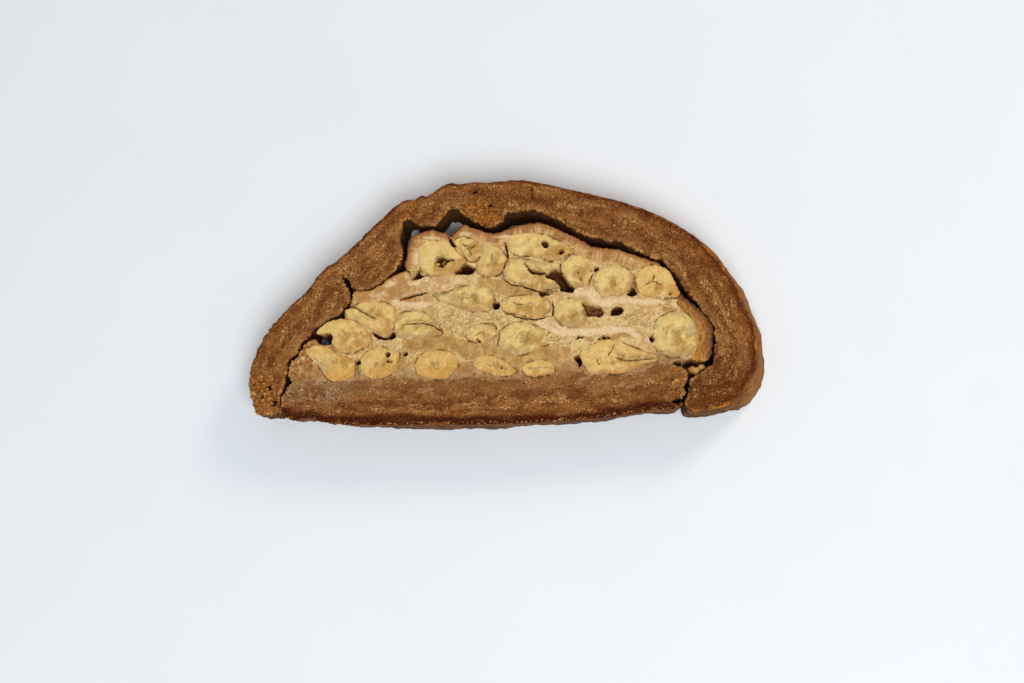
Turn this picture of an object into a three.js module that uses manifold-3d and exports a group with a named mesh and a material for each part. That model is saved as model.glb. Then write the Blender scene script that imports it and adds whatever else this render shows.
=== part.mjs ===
// A thick slice of kalakukko, the Finnish rye loaf baked round small fish and fat pork.
// The slice lies on one cut face. X runs along the loaf's flat base, Y from the base to the crown
// and Z up through the slice, so every layer of the filling runs through from Z 0 to the upper cut.
// All sizes are in millimetres.
import * as THREE from "three";
import { mergeVertices } from "three/addons/utils/BufferGeometryUtils.js";
import Module from "manifold-3d";

const wasm = await Module();
wasm.setup();

// Driving dimensions
const THICKNESS = 20; // between the two cuts
const CLEARANCE = 0.35; // between neighbouring pieces
const DRAWING_CENTRE = new THREE.Vector2(0.706, 1.722); // the middle of the outlines below
const DOME_FLARE = { left: 2.5, right: 4.6 }; // how much wider the dome is at the lower cut
const FLARE_FOOT = { none: -43, full: -34 }; // the flare grows between these heights
const BASE_UNDERCUT = 0.8; // how far the loaf's underside draws in at the lower cut
const CRUMB_RELIEF = 0.25; // the height of the lumps on cut crust
const TORN_RELIEF = 1.1; // the same where the crust is torn
const FISH_POINTS = 24; // corners round one fish
const FISH_RELIEF = 0.35; // how far a fish stands proud of the cut, or sinks below it
const SMALLEST_MASH = 60; // mm3, smaller scraps of the mash are left out

const RYE = { color: 0x7d5836, roughness: 0.95 };
const BAKED_BASE = { color: 0x6f4a2c, roughness: 0.95 };
const FISH = { color: 0xe0c489, roughness: 0.55 };
const FAT = { color: 0xe0c4a6, roughness: 0.45 };
const RIND = { color: 0xb98a5c, roughness: 0.5 };
const SOAKED = { color: 0xa98256, roughness: 0.7 };
const MASH = { color: 0xd3ae74, roughness: 0.6 };

// The dome of crust, in sectors from its left foot to its right toe. Each sector gives the next
// points of the loaf's outside and of the crust's inner edge, and its last two points face each other.
const DOME = [
  { outside: [[-92.5, -42.8], [-95, -38.5], [-96.8, -32], [-96.6, -26]],
    inside: [[-84.8, -41.6], [-84.3, -36.2], [-83.2, -31.5], [-82.8, -28]] }, // left foot
  { outside: [[-94, -17.5], [-89.8, -10], [-85, -4.8], [-80, 0.4], [-76, 4.6]],
    inside: [[-81.6, -23], [-79.4, -19.8], [-78, -15.2], [-75, -13], [-72.6, -10], [-71.8, -7.8],
      [-68, -6.2], [-62, -4.2]] }, // left flank
  { outside: [[-73, 8.8], [-70, 12.8], [-66.5, 15.6]],
    inside: [[-60.2, -1], [-58.7, 1.5], [-58.8, 4.4], [-60.2, 6.8], [-61.6, 9.8], [-59.6, 8],
      [-57.7, 5.6]] }, // crack
  { outside: [[-60, 20.4], [-54.5, 25.6], [-49, 30.8], [-43.5, 36], [-38, 40.4]],
    inside: [[-53, 4.8], [-49.5, 5.6], [-46.5, 7.4], [-43.5, 10.2], [-41, 12.8], [-39.6, 15.5],
      [-38.9, 19], [-38.4, 22.2], [-39.2, 25.5], [-38.8, 29.5], [-38.2, 32.2]] }, // left shoulder
  { outside: [[-35, 41.6], [-31.5, 41.6], [-28, 42.8], [-24, 45.2], [-19, 46.8]],
    inside: [[-35.8, 32.3], [-33, 30.6], [-29.5, 30.1], [-26, 30.2], [-24.6, 32.2], [-22.8, 35],
      [-20.5, 36.6], [-18, 36.4]] }, // torn crown
  { outside: [[-13, 46.3], [-6, 46.6], [1, 47]],
    inside: [[-15.5, 34], [-12, 31.8], [-8, 30.1], [-4.5, 29.1], [-1.4, 29.8], [0.4, 32.2],
      [2, 34.6]] }, // hanging lump
  { outside: [[8, 47.2], [16, 46], [25, 43.8], [34, 41.4]],
    inside: [[6, 35.3], [10.5, 35.7], [14.5, 34.8], [19, 32.6], [24, 29.6], [29, 26.6],
      [33, 25.1]] }, // crown
  { outside: [[44, 38.7], [54, 35.2], [63, 30.8], [71, 25.8], [77.5, 20]],
    inside: [[37, 23.2], [41.5, 22.2], [45.5, 22.1], [48.5, 20], [53, 18.2], [57.5, 15.8],
      [60.8, 15.4], [62.2, 12.8], [65, 10.4]] }, // right shoulder
  { outside: [[82.8, 13.8], [86.2, 8], [90, 2.4], [92.6, -3.5], [94.8, -9.5]],
    inside: [[67.6, 7.4], [69.2, 3.6], [71.4, 0.4], [74, -2.8], [76.4, -4.6], [78.2, -7.8],
      [80.2, -10.4]] }, // right flank
  { outside: [[96.2, -16], [96, -22], [94.8, -27.5], [91.8, -32.5], [88.6, -37]],
    inside: [[80, -13], [80.8, -15.5], [80.2, -18.2], [79.6, -22], [78.6, -25.4], [76.6, -26.8],
      [74.8, -28.2], [72.4, -29.6]] }, // right foot
  { outside: [[84.5, -40.3], [80, -41.8], [74.5, -42.3], [70.2, -42]],
    inside: [[70.8, -31], [70.2, -34], [69.2, -36.5], [68.7, -39.2], [68.6, -40.8]] }, // right toe
];

// The slab of crust under the filling, from left to right: the loaf's underside and the filling's bed.
const BASE = [
  { outside: [[-84, -41.2], [-81.5, -43.4], [-78.8, -44.9]],
    inside: [[-83.4, -35.8], [-82, -31.8], [-79.5, -30.4]] },
  { outside: [[-74.5, -44.3], [-70, -45.1], [-63, -46.3], [-55, -47.1], [-46, -47.3]],
    inside: [[-74, -30], [-69, -30.4], [-63.5, -31.4], [-58, -30.7], [-52.5, -29.8], [-46, -30.4]] },
  { outside: [[-30, -47.4], [-14, -47.3], [0, -47.2]],
    inside: [[-40, -29.6], [-34, -30], [-27, -30.8], [-20, -30.3], [-13, -29.2], [-6, -29.8],
      [0, -30.2]] },
  { outside: [[12, -46.9], [24, -46.2], [36, -45]],
    inside: [[5, -30], [11, -30.2], [18, -29.6], [22.5, -28.4], [27, -27.4], [31.5, -28.2],
      [35.5, -29.5]] },
  { outside: [[48, -43.7], [58, -42.4], [64.5, -41.6]],
    inside: [[41, -29.4], [46, -29.6], [51, -28], [56, -26.2], [61, -25.4], [65.5, -25.2]] },
  { outside: [[66, -41.4], [67.4, -41]],
    inside: [[67.6, -26.6], [69.4, -29.4], [69.4, -32.2], [68.6, -34.8], [67.8, -38]] },
];

// The layers of pork and of soaked dough between the fish: the upper and the lower edge of each.
const LAYERS = {
  rind_left: { finish: RIND,
    outside: [[-37.2, 13], [-36.6, 18], [-35.8, 22], [-34.8, 25.2], [-31.5, 27.1], [-27, 28],
      [-23.5, 27.3], [-20.6, 26.4]],
    inside: [[-33.5, 12.6], [-32.8, 17], [-32.6, 21], [-31.8, 23.8], [-29.5, 24.7], [-26, 24.9],
      [-23, 24.7], [-20.9, 23.9]] },
  rind_top: { finish: RIND,
    outside: [[-19.2, 25.6], [-16.8, 28.2], [-14.4, 29.8], [-11, 28.4], [-7, 26.9], [-2, 26.7],
      [2.5, 28.2], [7, 29.3], [12, 30.2], [16, 30], [21, 27.9], [26, 25.5], [31, 22.6], [34.5, 20.6],
      [39.5, 19.4], [43.5, 19.7], [48, 17.5], [53, 15.9], [57.5, 13.8]],
    inside: [[-18.6, 24.6], [-16, 25.2], [-13, 25], [-9.5, 23.6], [-6, 23.6], [-2, 23.2],
      [1.5, 24.4], [5, 26.3], [9, 26.1], [13, 26.6], [17, 26.3], [20.5, 24.6], [24, 21.4], [28, 19.3],
      [32.5, 18.2], [36, 15.9], [41, 15.6], [46, 14.9], [50.5, 12.6]] },
  lean_right: { finish: RIND,
    outside: [[67.8, 1.6], [70.5, -0.9], [73.5, -3.6], [76, -6.2], [78.4, -9.6], [79.4, -12.5],
      [79, -15.5], [78.6, -19], [77.8, -22.2]],
    inside: [[66.8, -0.6], [69, -2.6], [70.6, -6], [72.4, -9.6], [74.4, -12.4], [75, -15.4],
      [74.8, -18.4], [73.4, -21], [72, -22.4]] },
  fat_left: { finish: FAT,
    outside: [[-57, 3.6], [-51.5, 4], [-47, 5.6], [-43.5, 8.4], [-39.5, 11.3], [-36.4, 11.9],
      [-34.6, 9], [-31.5, 8.2], [-26, 8.6], [-20, 9.2], [-14, 9.2], [-9, 8.4]],
    inside: [[-56.6, 1], [-50, 1], [-44, 0.7], [-40.6, -0.8], [-38, -2.1], [-34, -2.6], [-30, -2.4],
      [-27, -0.6], [-24.5, 2.6], [-21, 5.6], [-15, 7.2], [-9.6, 7.2]] },
  soaked_middle: { finish: SOAKED,
    outside: [[-8.4, 8], [-3.5, 8.4], [0.8, 7.8], [5, 6.1], [9.5, 5], [13.2, 4.2]],
    inside: [[-8.8, 6.2], [-5, 5.4], [-1, 4], [3.5, 3.2], [8, 3.2], [12.6, 3.2]] },
  fat_right: { finish: FAT,
    outside: [[27.5, 3.6], [30.5, 4.6], [32.6, 4.6], [35.2, 2.2], [38.5, 0.6], [43, 0.5], [48, 0.9],
      [53, 0.4], [60, 0.1], [65.4, -0.4]],
    inside: [[27.6, 2.4], [30.5, 0.6], [34, -1], [37.5, -2.4], [40.5, -3.2], [44.5, -1.8],
      [49, -2.6], [54, -3], [60, -3], [66.2, -2.8]] },
  fat_lower: { finish: FAT,
    outside: [[13, -7.6], [16.5, -7], [19.4, -7.4], [22.4, -10.4], [27, -11.2], [32, -10.8],
      [38, -10.2], [44, -9.9], [49, -10.8], [53, -12.4], [55.2, -14.6]],
    inside: [[13.6, -9.2], [17.6, -11.6], [21.5, -13.6], [26, -14.4], [31, -14], [36.5, -13.6],
      [42, -13.2], [46.5, -12.9], [50, -14.6], [53.2, -17.4], [55.4, -17.6]] },
  soaked_lower: { finish: SOAKED,
    outside: [[-36, -15], [-30, -14.4], [-24, -13.8], [-18, -14.2], [-13, -16], [-9.5, -17.4],
      [-5, -17.2], [-2.2, -18.6], [1.5, -20.6], [5, -21.8], [9, -21.4], [12.5, -19.8], [16.5, -18.2],
      [20.5, -18.6], [25, -20]],
    inside: [[-34.5, -18.6], [-28, -18.2], [-22, -18], [-17.5, -19.2], [-14, -21.6], [-11.5, -21.8],
      [-7, -21.2], [-2, -21.8], [3, -23.2], [6.5, -24], [9.5, -23], [13.5, -23], [17, -22.4],
      [20.5, -23.4], [24.5, -23.6]] },
};

// Small fish cut across. Each is a rounded oval: its middle, its long and tall sizes, its turn in
// degrees, how square it is (2 is an ellipse) and how much it widens towards the end it points to.
const FISHES = {
  fish_top_1: { x: -23.3, y: 16.9, long: 17.6, tall: 13.4, turn: -8, square: 2.5, taper: -0.2 },
  fish_top_2: { x: -12.8, y: 19.7, long: 10.4, tall: 8.6, turn: -80, square: 2.4, taper: -0.35 },
  fish_top_3: { x: -4, y: 15.9, long: 12.8, tall: 10.8, turn: 72, square: 2.2, taper: -0.15 },
  fish_top_4: { x: 13.2, y: 21.1, long: 22, tall: 9.2, turn: -8, square: 2.5, taper: -0.1 },
  fish_top_5: { x: 11.4, y: 10.5, long: 23, tall: 9.8, turn: -14, square: 2.4, taper: -0.22 },
  fish_top_6: { x: 28.4, y: 11.5, long: 13, tall: 11.4, turn: -40, square: 2.3, taper: -0.1 },
  fish_top_7: { x: 42, y: 7.7, long: 16, tall: 12.6, turn: 8, square: 2.4, taper: 0 },
  fish_top_8: { x: 58.2, y: 6.9, long: 15.8, tall: 12, turn: -20, square: 2.4, taper: -0.12 },
  fish_middle_1: { x: -12.6, y: 1.1, long: 20.4, tall: 9.6, turn: -10, square: 2.3, taper: 0.05 },
  fish_middle_2: { x: 9, y: -1.7, long: 19, tall: 8.2, turn: -4, square: 2.7, taper: 0 },
  fish_middle_3: { x: 26, y: -5, long: 12.6, tall: 11, turn: 0, square: 2.5, taper: 0 },
  fish_low_1: { x: -49.9, y: -6.7, long: 19.4, tall: 10.2, turn: -22, square: 2.4, taper: 0.25 },
  fish_low_2: { x: -61.2, y: -13.1, long: 18.6, tall: 12.4, turn: -12, square: 2.3, taper: 0.1 },
  fish_low_3: { x: -32.3, y: -9.1, long: 18.4, tall: 9.2, turn: -10, square: 2.3, taper: -0.2 },
  fish_low_4: { x: -7.6, y: -12, long: 11.8, tall: 8.4, turn: 20, square: 2.3, taper: 0 },
  fish_low_5: { x: 7.6, y: -14.6, long: 18.4, tall: 12, turn: -2, square: 2.2, taper: -0.15 },
  fish_right: { x: 65.2, y: -14, long: 18, tall: 16.6, turn: -5, square: 2.2, taper: 0 },
  fish_bottom_1: { x: -63, y: -24.6, long: 16.4, tall: 10.8, turn: -22, square: 2.3, taper: 0.15 },
  fish_bottom_2: { x: -46.6, y: -22.9, long: 16.2, tall: 12, turn: 15, square: 2.3, taper: 0 },
  fish_bottom_3: { x: -24.8, y: -24.4, long: 16.6, tall: 10.8, turn: 0, square: 2.3, taper: 0 },
  fish_bottom_4: { x: -2.6, y: -25.5, long: 17, tall: 6.8, turn: -14, square: 2.3, taper: 0 },
  fish_bottom_5: { x: 14, y: -26.2, long: 12.4, tall: 6, turn: 2, square: 2.6, taper: 0 },
  fish_bottom_6: { x: 43, y: -22.6, long: 28.2, tall: 11.4, turn: -8, square: 2.3, taper: -0.2 },
};

// A scrap of fat that has fallen into the crack at the lower right.
const FAT_SCRAP = { x: 72.6, y: -26.8, long: 5.4, tall: 3, turn: 35, square: 2.5, taper: 0 };

// The mash that holds the fish: its outline where it is open or runs under the rind, from the left
// end of the bed round to the right end. The bed itself closes it.
const MASH_EDGE = [[-80.6, -29.4], [-81.4, -27], [-80, -23], [-77.8, -20], [-76.6, -17.6], [-74.4, -14.8],
  [-71.6, -14], [-69.4, -14.8], [-66, -16.4], [-64, -14], [-64, -9], [-60.4, -6.4], [-60.2, -3.6],
  [-58.2, -1.4], [-57.4, 1.6], [-56, 3], [-50, 2.8], [-44, 5], [-40, 8], [-36.2, 10.6], [-35, 14],
  [-34.6, 18], [-34, 22.5], [-30, 26], [-24, 26], [-20, 25.2], [-16.5, 26.6], [-12, 26.8], [-6, 25.2],
  [0, 25.4], [6, 27.8], [12, 28.3], [18, 27.6], [24, 23.6], [30, 20.8], [36, 18], [44, 17.4],
  [50, 14.8], [55, 13.6], [61, 11.4], [64.5, 6], [67.4, 0.6], [70.5, -2.6], [74, -7], [76.6, -12],
  [77, -17], [75.5, -21.6], [70.5, -23], [67.4, -24.2]];

// Hollows that open in the upper cut, where fish and mash have drawn apart, as ovals with a depth.
const HOLLOWS = [
  { x: -14, y: 12, long: 7, tall: 3, turn: 10, square: 2, taper: 0, depth: 12 },
  { x: -32.3, y: 10.1, long: 4.6, tall: 1.8, turn: 40, square: 2, taper: 0, depth: 8 },
  { x: -23, y: 15.6, long: 7.6, tall: 2.6, turn: 2, square: 2, taper: -0.3, depth: 7 },
  { x: 16.6, y: 21.6, long: 2.2, tall: 1.6, turn: -50, square: 2, taper: 0, depth: 6 },
  { x: 21.4, y: 8.6, long: 8, tall: 3.6, turn: -52, square: 2, taper: 0, depth: 12 },
  { x: 15, y: 10.2, long: 9, tall: 0.9, turn: -5, square: 2, taper: 0, depth: 8 },
  { x: 34.4, y: -3.9, long: 7.4, tall: 4, turn: -20, square: 2.4, taper: -0.2, depth: 4 },
  { x: 43.2, y: -5, long: 4, tall: 2.4, turn: 10, square: 2.4, taper: 0, depth: 7 },
  { x: -43.8, y: -13.6, long: 7.6, tall: 1.6, turn: 6, square: 2, taper: 0, depth: 10 },
  { x: 28.7, y: -23.2, long: 4.4, tall: 1.8, turn: -55, square: 2, taper: 0, depth: 9 },
  { x: -2.2, y: -2.2, long: 2.4, tall: 1.9, turn: -10, square: 2.6, taper: 0, depth: 9 },
  { x: -67.6, y: -13.7, long: 5.6, tall: 2.2, turn: -6, square: 2, taper: 0, depth: 12 },
  { x: -54, y: -4.1, long: 9.5, tall: 0.9, turn: -28, square: 2, taper: 0, depth: 5 },
  { x: -30.6, y: -8.9, long: 11, tall: 0.9, turn: -6, square: 2, taper: 0, depth: 5 },
  { x: -33.8, y: 2.2, long: 9.8, tall: 0.9, turn: 14, square: 2, taper: 0, depth: 6 },
  { x: 50, y: 2, long: 3.4, tall: 1.5, turn: 25, square: 2, taper: 0, depth: 8 },
  { x: -36.8, y: -20.4, long: 2, tall: 1.8, turn: 0, square: 2, taper: 0, depth: 6 },
  { x: 57.6, y: 5.8, long: 3.6, tall: 2.4, turn: 0, square: 2, taper: 0, depth: 3 },
  { x: 50.4, y: -23, long: 13, tall: 0.9, turn: -4, square: 2, taper: 0, depth: 5 },
];

// A smooth curve through points of the cut face, read at a point's own index.
function edgeCurve(points) {
  const curve = new THREE.CatmullRomCurve3(points.map(([x, y]) => new THREE.Vector3(x, y, 0)));
  return (index) => {
    const p = curve.getPoint(index / (points.length - 1));
    return new THREE.Vector2(p.x, p.y);
  };
}

// The facing points of a band's two edges, perInterval of them for each step along the inner edge.
function facingPoints(sectors, perInterval) {
  const outside = sectors.flatMap((s) => s.outside);
  const inside = sectors.flatMap((s) => s.inside);
  const [outer, inner] = [edgeCurve(outside), edgeCurve(inside)];
  const pairs = [];
  let [outerFrom, innerFrom] = [0, 0];
  let [outerTo, innerTo] = [-1, -1];
  for (const sector of sectors) {
    outerTo += sector.outside.length;
    innerTo += sector.inside.length;
    const steps = (innerTo - innerFrom) * perInterval;
    for (let step = pairs.length ? 1 : 0; step <= steps; step++) {
      pairs.push([
        outer(THREE.MathUtils.lerp(outerFrom, outerTo, step / steps)),
        inner(THREE.MathUtils.lerp(innerFrom, innerTo, step / steps)),
      ]);
    }
    [outerFrom, innerFrom] = [outerTo, innerTo];
  }
  return pairs;
}

// Smooth lumps of height -1 to 1, a few millimetres across.
function lumps(p) {
  return 0.5 * Math.sin(1.9 * p.x + 0.8 * p.y) * Math.sin(1.3 * p.y - 0.6 * p.x + 1)
    + 0.5 * Math.sin(0.83 * p.x - 1.1 * p.y + 2) * Math.sin(0.71 * p.y + 0.47 * p.x);
}

// How far crust stands above or below the plane of the cut: rougher where it is torn and crumbles.
function crustRelief(p) {
  const foot = THREE.MathUtils.smoothstep(-p.x, 82, 92) * THREE.MathUtils.smoothstep(-p.y, 22, 30);
  const crown = THREE.MathUtils.smoothstep(8 - Math.abs(p.x + 9), 0, 4)
    * THREE.MathUtils.smoothstep(42 - p.y, 0, 4);
  return THREE.MathUtils.lerp(CRUMB_RELIEF, TORN_RELIEF, Math.max(foot, crown)) * lumps(p);
}

// How far the loaf's outside stands out at the lower cut, compared with the upper one.
function domeFlare(p) {
  const across = THREE.MathUtils.clamp((p.x + 97) / 194, 0, 1);
  return THREE.MathUtils.lerp(DOME_FLARE.left, DOME_FLARE.right, across)
    * THREE.MathUtils.smoothstep(p.y, FLARE_FOOT.none, FLARE_FOOT.full);
}

// A Manifold solid from vertices and triangles, turned the right way out.
function solidFrom(vertices, triangles) {
  const make = () => new wasm.Manifold(new wasm.Mesh({
    numProp: 3,
    vertProperties: new Float32Array(vertices.flatMap((v) => [v.x, v.y, v.z])),
    triVerts: new Uint32Array(triangles.flat()),
  }));
  const solid = make();
  if (solid.volume() > 0) return solid;
  triangles.forEach((t) => t.reverse());
  return make();
}

// A band between two edges, closed at both ends: its section has the edges at its corners, a top
// with the points in acrossTop and a middle point on each wall. What is grown is also taller.
function bandSolid(pairs, { acrossTop, relief, flare, grow = 0 }) {
  const spare = grow > 0 ? 2 : 0;
  const at = (p, z) => new THREE.Vector3(p.x, p.y, z);
  const section = ([outer, inner]) => {
    const out = outer.clone().sub(inner).normalize();
    const [o, i] = [outer.clone().addScaledVector(out, grow), inner.clone().addScaledVector(out, -grow)];
    const foot = o.clone().addScaledVector(out, flare(outer));
    const wall = o.clone().addScaledVector(out, 0.6 * flare(outer));
    return [
      ...acrossTop.map((share) => o.clone().lerp(i, share)).map((p) => at(p, THICKNESS + relief(p) + spare)),
      at(i, THICKNESS / 2), at(i, -spare), at(foot, -spare), at(wall, THICKNESS / 2),
    ];
  };
  const rings = pairs.map(section);
  const size = rings[0].length;
  const vertices = rings.flat();
  const triangles = [];
  for (let ring = 0; ring < rings.length - 1; ring++) {
    for (let k = 0; k < size; k++) {
      const [a, b] = [ring * size + k, ring * size + ((k + 1) % size)];
      triangles.push([a, b, a + size], [b, b + size, a + size]);
    }
  }
  for (const [ring, turned] of [[0, true], [rings.length - 1, false]]) {
    const middle = vertices.length;
    const sum = rings[ring].reduce((total, v) => total.add(v), new THREE.Vector3());
    vertices.push(sum.divideScalar(size));
    for (let k = 0; k < size; k++) {
      const [a, b] = [ring * size + k, ring * size + ((k + 1) % size)];
      triangles.push(turned ? [b, a, middle] : [a, b, middle]);
    }
  }
  return solidFrom(vertices, triangles);
}

// A prism over a closed outline, from one height to another.
function prism(outline, from, to) {
  const shape = new THREE.Shape(outline);
  const geometry = new THREE.ExtrudeGeometry(shape, { depth: to - from, bevelEnabled: false, steps: 1 });
  geometry.translate(0, 0, from);
  geometry.deleteAttribute("normal");
  geometry.deleteAttribute("uv");
  const merged = mergeVertices(geometry, 1e-4);
  return new wasm.Manifold(new wasm.Mesh({
    numProp: 3,
    vertProperties: merged.attributes.position.array,
    triVerts: new Uint32Array(merged.index.array),
  }));
}

// The outline of a rounded oval.
function oval({ x, y, long, tall, turn, square, taper }, grow = 0) {
  const rounded = (v) => Math.sign(v) * Math.abs(v) ** (2 / square);
  const middle = new THREE.Vector2(x, y);
  return Array.from({ length: FISH_POINTS }, (_, k) => {
    const angle = (2 * Math.PI * k) / FISH_POINTS;
    const [along, across] = [rounded(Math.cos(angle)), rounded(Math.sin(angle))];
    const point = new THREE.Vector2(
      (long / 2 + grow) * along,
      (tall / 2 + grow) * across * (1 + taper * along),
    );
    return point.rotateAround(new THREE.Vector2(), THREE.MathUtils.degToRad(turn)).add(middle);
  });
}

function meshOf(name, solid, finish) {
  const { numProp, numVert, vertProperties, triVerts } = solid.getMesh();
  const position = new Float32Array(numVert * 3);
  for (let v = 0; v < numVert; v++) {
    position.set(vertProperties.subarray(v * numProp, v * numProp + 3), v * 3);
  }
  const geometry = new THREE.BufferGeometry();
  geometry.setAttribute("position", new THREE.BufferAttribute(position, 3));
  geometry.setIndex(new THREE.BufferAttribute(triVerts, 1));
  geometry.computeVertexNormals();
  const mesh = new THREE.Mesh(geometry, new THREE.MeshStandardMaterial({ metalness: 0, ...finish }));
  mesh.name = name;
  return mesh;
}

// Each new piece is cut back by the pieces already there, with the clearance between them.
const taken = [];
const slice = new THREE.Group();

function addPiece(name, solid, grown, finish) {
  let trimmed = solid;
  for (const other of taken) {
    if (trimmed.intersect(other).volume() > 0) trimmed = trimmed.subtract(other);
  }
  const largest = trimmed.decompose().reduce((a, b) => (a.volume() > b.volume() ? a : b));
  taken.push(grown);
  slice.add(meshOf(name, largest, finish));
}

function addCrust(name, sectors, perInterval, flare, finish) {
  const pairs = facingPoints(sectors, perInterval);
  const section = { acrossTop: [0, 0.25, 0.5, 0.75, 1], relief: crustRelief, flare };
  addPiece(name, bandSolid(pairs, section), bandSolid(pairs, { ...section, grow: CLEARANCE }), finish);
}

addCrust("crust_dome", DOME, 2, domeFlare, RYE);
addCrust("crust_base", BASE, 2, () => -BASE_UNDERCUT, BAKED_BASE);

const hollows = HOLLOWS.map((h) => prism(oval(h), THICKNESS - h.depth, THICKNESS + 2));
const withHollows = (solid) => hollows.reduce(
  (left, hollow) => (left.intersect(hollow).volume() > 0 ? left.subtract(hollow) : left), solid);

for (const [name, { outside, inside, finish }] of Object.entries(LAYERS)) {
  const pairs = facingPoints([{ outside, inside }], 1);
  const section = { acrossTop: [0, 0.5, 1], relief: (p) => 0.3 * lumps(p), flare: () => 0 };
  const solid = withHollows(bandSolid(pairs, section));
  addPiece(name, solid, bandSolid(pairs, { ...section, grow: CLEARANCE }), finish);
}

Object.entries(FISHES).forEach(([name, fish], k) => {
  const top = THICKNESS + FISH_RELIEF * Math.sin(2.4 * k);
  const solid = withHollows(prism(oval(fish), 0, top));
  addPiece(name, solid, prism(oval(fish, CLEARANCE), -1, THICKNESS + 2), FISH);
});

addPiece("fat_scrap", prism(oval(FAT_SCRAP), 0, THICKNESS - 2),
  prism(oval(FAT_SCRAP, CLEARANCE), -1, THICKNESS + 2), FAT);

// The mash fills what is left between the pieces.
const bedCurve = edgeCurve(BASE.flatMap((s) => s.inside));
const bedPoints = [];
const bedEnds = { left: 2, right: 30 }; // the points of the bed that the mash lies on
for (let index = bedEnds.right; index >= bedEnds.left; index -= 0.5) bedPoints.push(bedCurve(index));
const edge = edgeCurve(MASH_EDGE);
const mashOutline = [...bedPoints];
for (let index = 0; index < MASH_EDGE.length - 0.5; index += 0.5) mashOutline.push(edge(index));
let mash = withHollows(prism(mashOutline, 0, THICKNESS - 0.2));
for (const piece of taken) mash = mash.subtract(piece);
mash.decompose()
  .filter((body) => body.volume() > SMALLEST_MASH)
  .sort((a, b) => b.volume() - a.volume())
  .forEach((body, k) => slice.add(meshOf(`mash_${k + 1}`, body, MASH)));

slice.position.set(-DRAWING_CENTRE.x, -DRAWING_CENTRE.y, 0);

export default slice;
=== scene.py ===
import math

import bmesh
import bpy
import numpy as np
from mathutils import Matrix, Vector, kdtree, noise
from mathutils.geometry import delaunay_2d_cdt


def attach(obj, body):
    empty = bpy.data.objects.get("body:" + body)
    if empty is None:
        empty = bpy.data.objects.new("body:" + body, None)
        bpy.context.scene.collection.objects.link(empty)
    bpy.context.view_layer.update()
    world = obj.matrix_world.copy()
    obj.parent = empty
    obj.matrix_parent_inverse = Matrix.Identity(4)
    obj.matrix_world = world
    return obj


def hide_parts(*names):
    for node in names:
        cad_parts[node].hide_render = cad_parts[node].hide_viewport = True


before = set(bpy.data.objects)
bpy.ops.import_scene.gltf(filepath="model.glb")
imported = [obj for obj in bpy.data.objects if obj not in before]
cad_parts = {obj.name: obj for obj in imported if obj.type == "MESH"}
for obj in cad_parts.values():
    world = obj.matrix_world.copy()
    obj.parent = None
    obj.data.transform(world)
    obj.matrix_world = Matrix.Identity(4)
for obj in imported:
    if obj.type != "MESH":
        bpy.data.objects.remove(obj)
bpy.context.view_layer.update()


# ---- The base crust ----
# Sour rye dough, rolled out as the floor of the loaf and baked hard underneath. The filling lies on
# it and has soaked its upper side. The knife leaves a dense brown slab with pale flecks of bran.

MM = 0.001  # metres
MIDDLE = np.array((0.706, 1.722))  # mm, the middle of the slice's box in the outlines below
CUT = 20.0  # mm, from the lower cut to the upper one
HIGHEST = 20.85  # mm, what no crumb stands above
RULER_STEP = 0.15  # mm between the places of a line that distances are measured from
UNDER_STEP = 1.3  # mm between the points of a lower cut face, which is never seen close

UNDERSIDE = [
    (-84.8, -41.6), (-82.6, -43.4), (-79, -45), (-76.5, -44.4), (-72, -44.4), (-70, -45.1), (-65, -46),
    (-60, -46.5), (-50, -46.9), (-30, -47), (0, -46.9), (15, -46.6), (25, -46), (35, -45.1), (45, -43.9),
    (55, -42.4), (65, -41.6), (67.3, -41),
]
RIGHT_BREAK = [
    (67.6, -39.9), (67.2, -38.6), (67.8, -36.9), (68.8, -35.7), (67.9, -34.2), (68.5, -32.2), (69.6, -30.2),
    (69.5, -28.6),
]
BED = [
    (67.6, -26.4), (65.3, -25.1), (61, -25), (56, -26), (51, -27.8), (46, -29.2), (41, -29), (35.5, -29.1),
    (31.5, -28), (27, -27.2), (22.5, -28.2), (18, -29.4), (11, -30), (5, -29.8), (0, -30), (-6, -29.6),
    (-13, -29.2), (-20, -30.2), (-27, -30.6), (-34, -29.8), (-40, -29.4), (-46, -30.2), (-52.5, -29.6),
    (-58, -30.4), (-63.5, -31.2), (-69, -30.2), (-74, -29.8), (-79.5, -30.2),
]
LEFT_BREAK = [
    (-81.6, -31.6), (-82.2, -33.4), (-83.6, -35.6), (-84, -38.2),
]


def even_line(points, spacing, closed=True):
    """Places at an even spacing along a smooth curve through the points."""
    p = np.array(points, float)
    ahead = np.roll(p, -1, 0) - p
    behind = p - np.roll(p, 1, 0)
    if not closed:
        ahead[-1], behind[0] = behind[-1], ahead[0]
    a = np.linalg.norm(ahead, axis=1)[:, None]
    b = np.linalg.norm(behind, axis=1)[:, None]
    slope = (ahead / a * b + behind / b * a) / (a + b)
    parts = 24  # between one given point and the next
    t = np.linspace(0, 1, parts, endpoint=False)[:, None]
    dense = []
    for i in range(len(p) if closed else len(p) - 1):
        j = (i + 1) % len(p)
        dense.append((2 * t**3 - 3 * t**2 + 1) * p[i] + (t**3 - 2 * t**2 + t) * a[i] * slope[i]
                     + (3 * t**2 - 2 * t**3) * p[j] + (t**3 - t**2) * a[i] * slope[j])
    dense = np.vstack(dense + [p[:1] if closed else p[-1:]])
    run = np.append(0, np.cumsum(np.linalg.norm(np.diff(dense, axis=0), axis=1)))
    count = max(4, round(run[-1] / spacing))
    stops = np.linspace(0, run[-1], count, endpoint=False) if closed else np.linspace(0, run[-1], count)
    return np.column_stack([np.interp(stops, run, dense[:, k]) for k in (0, 1)])


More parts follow.
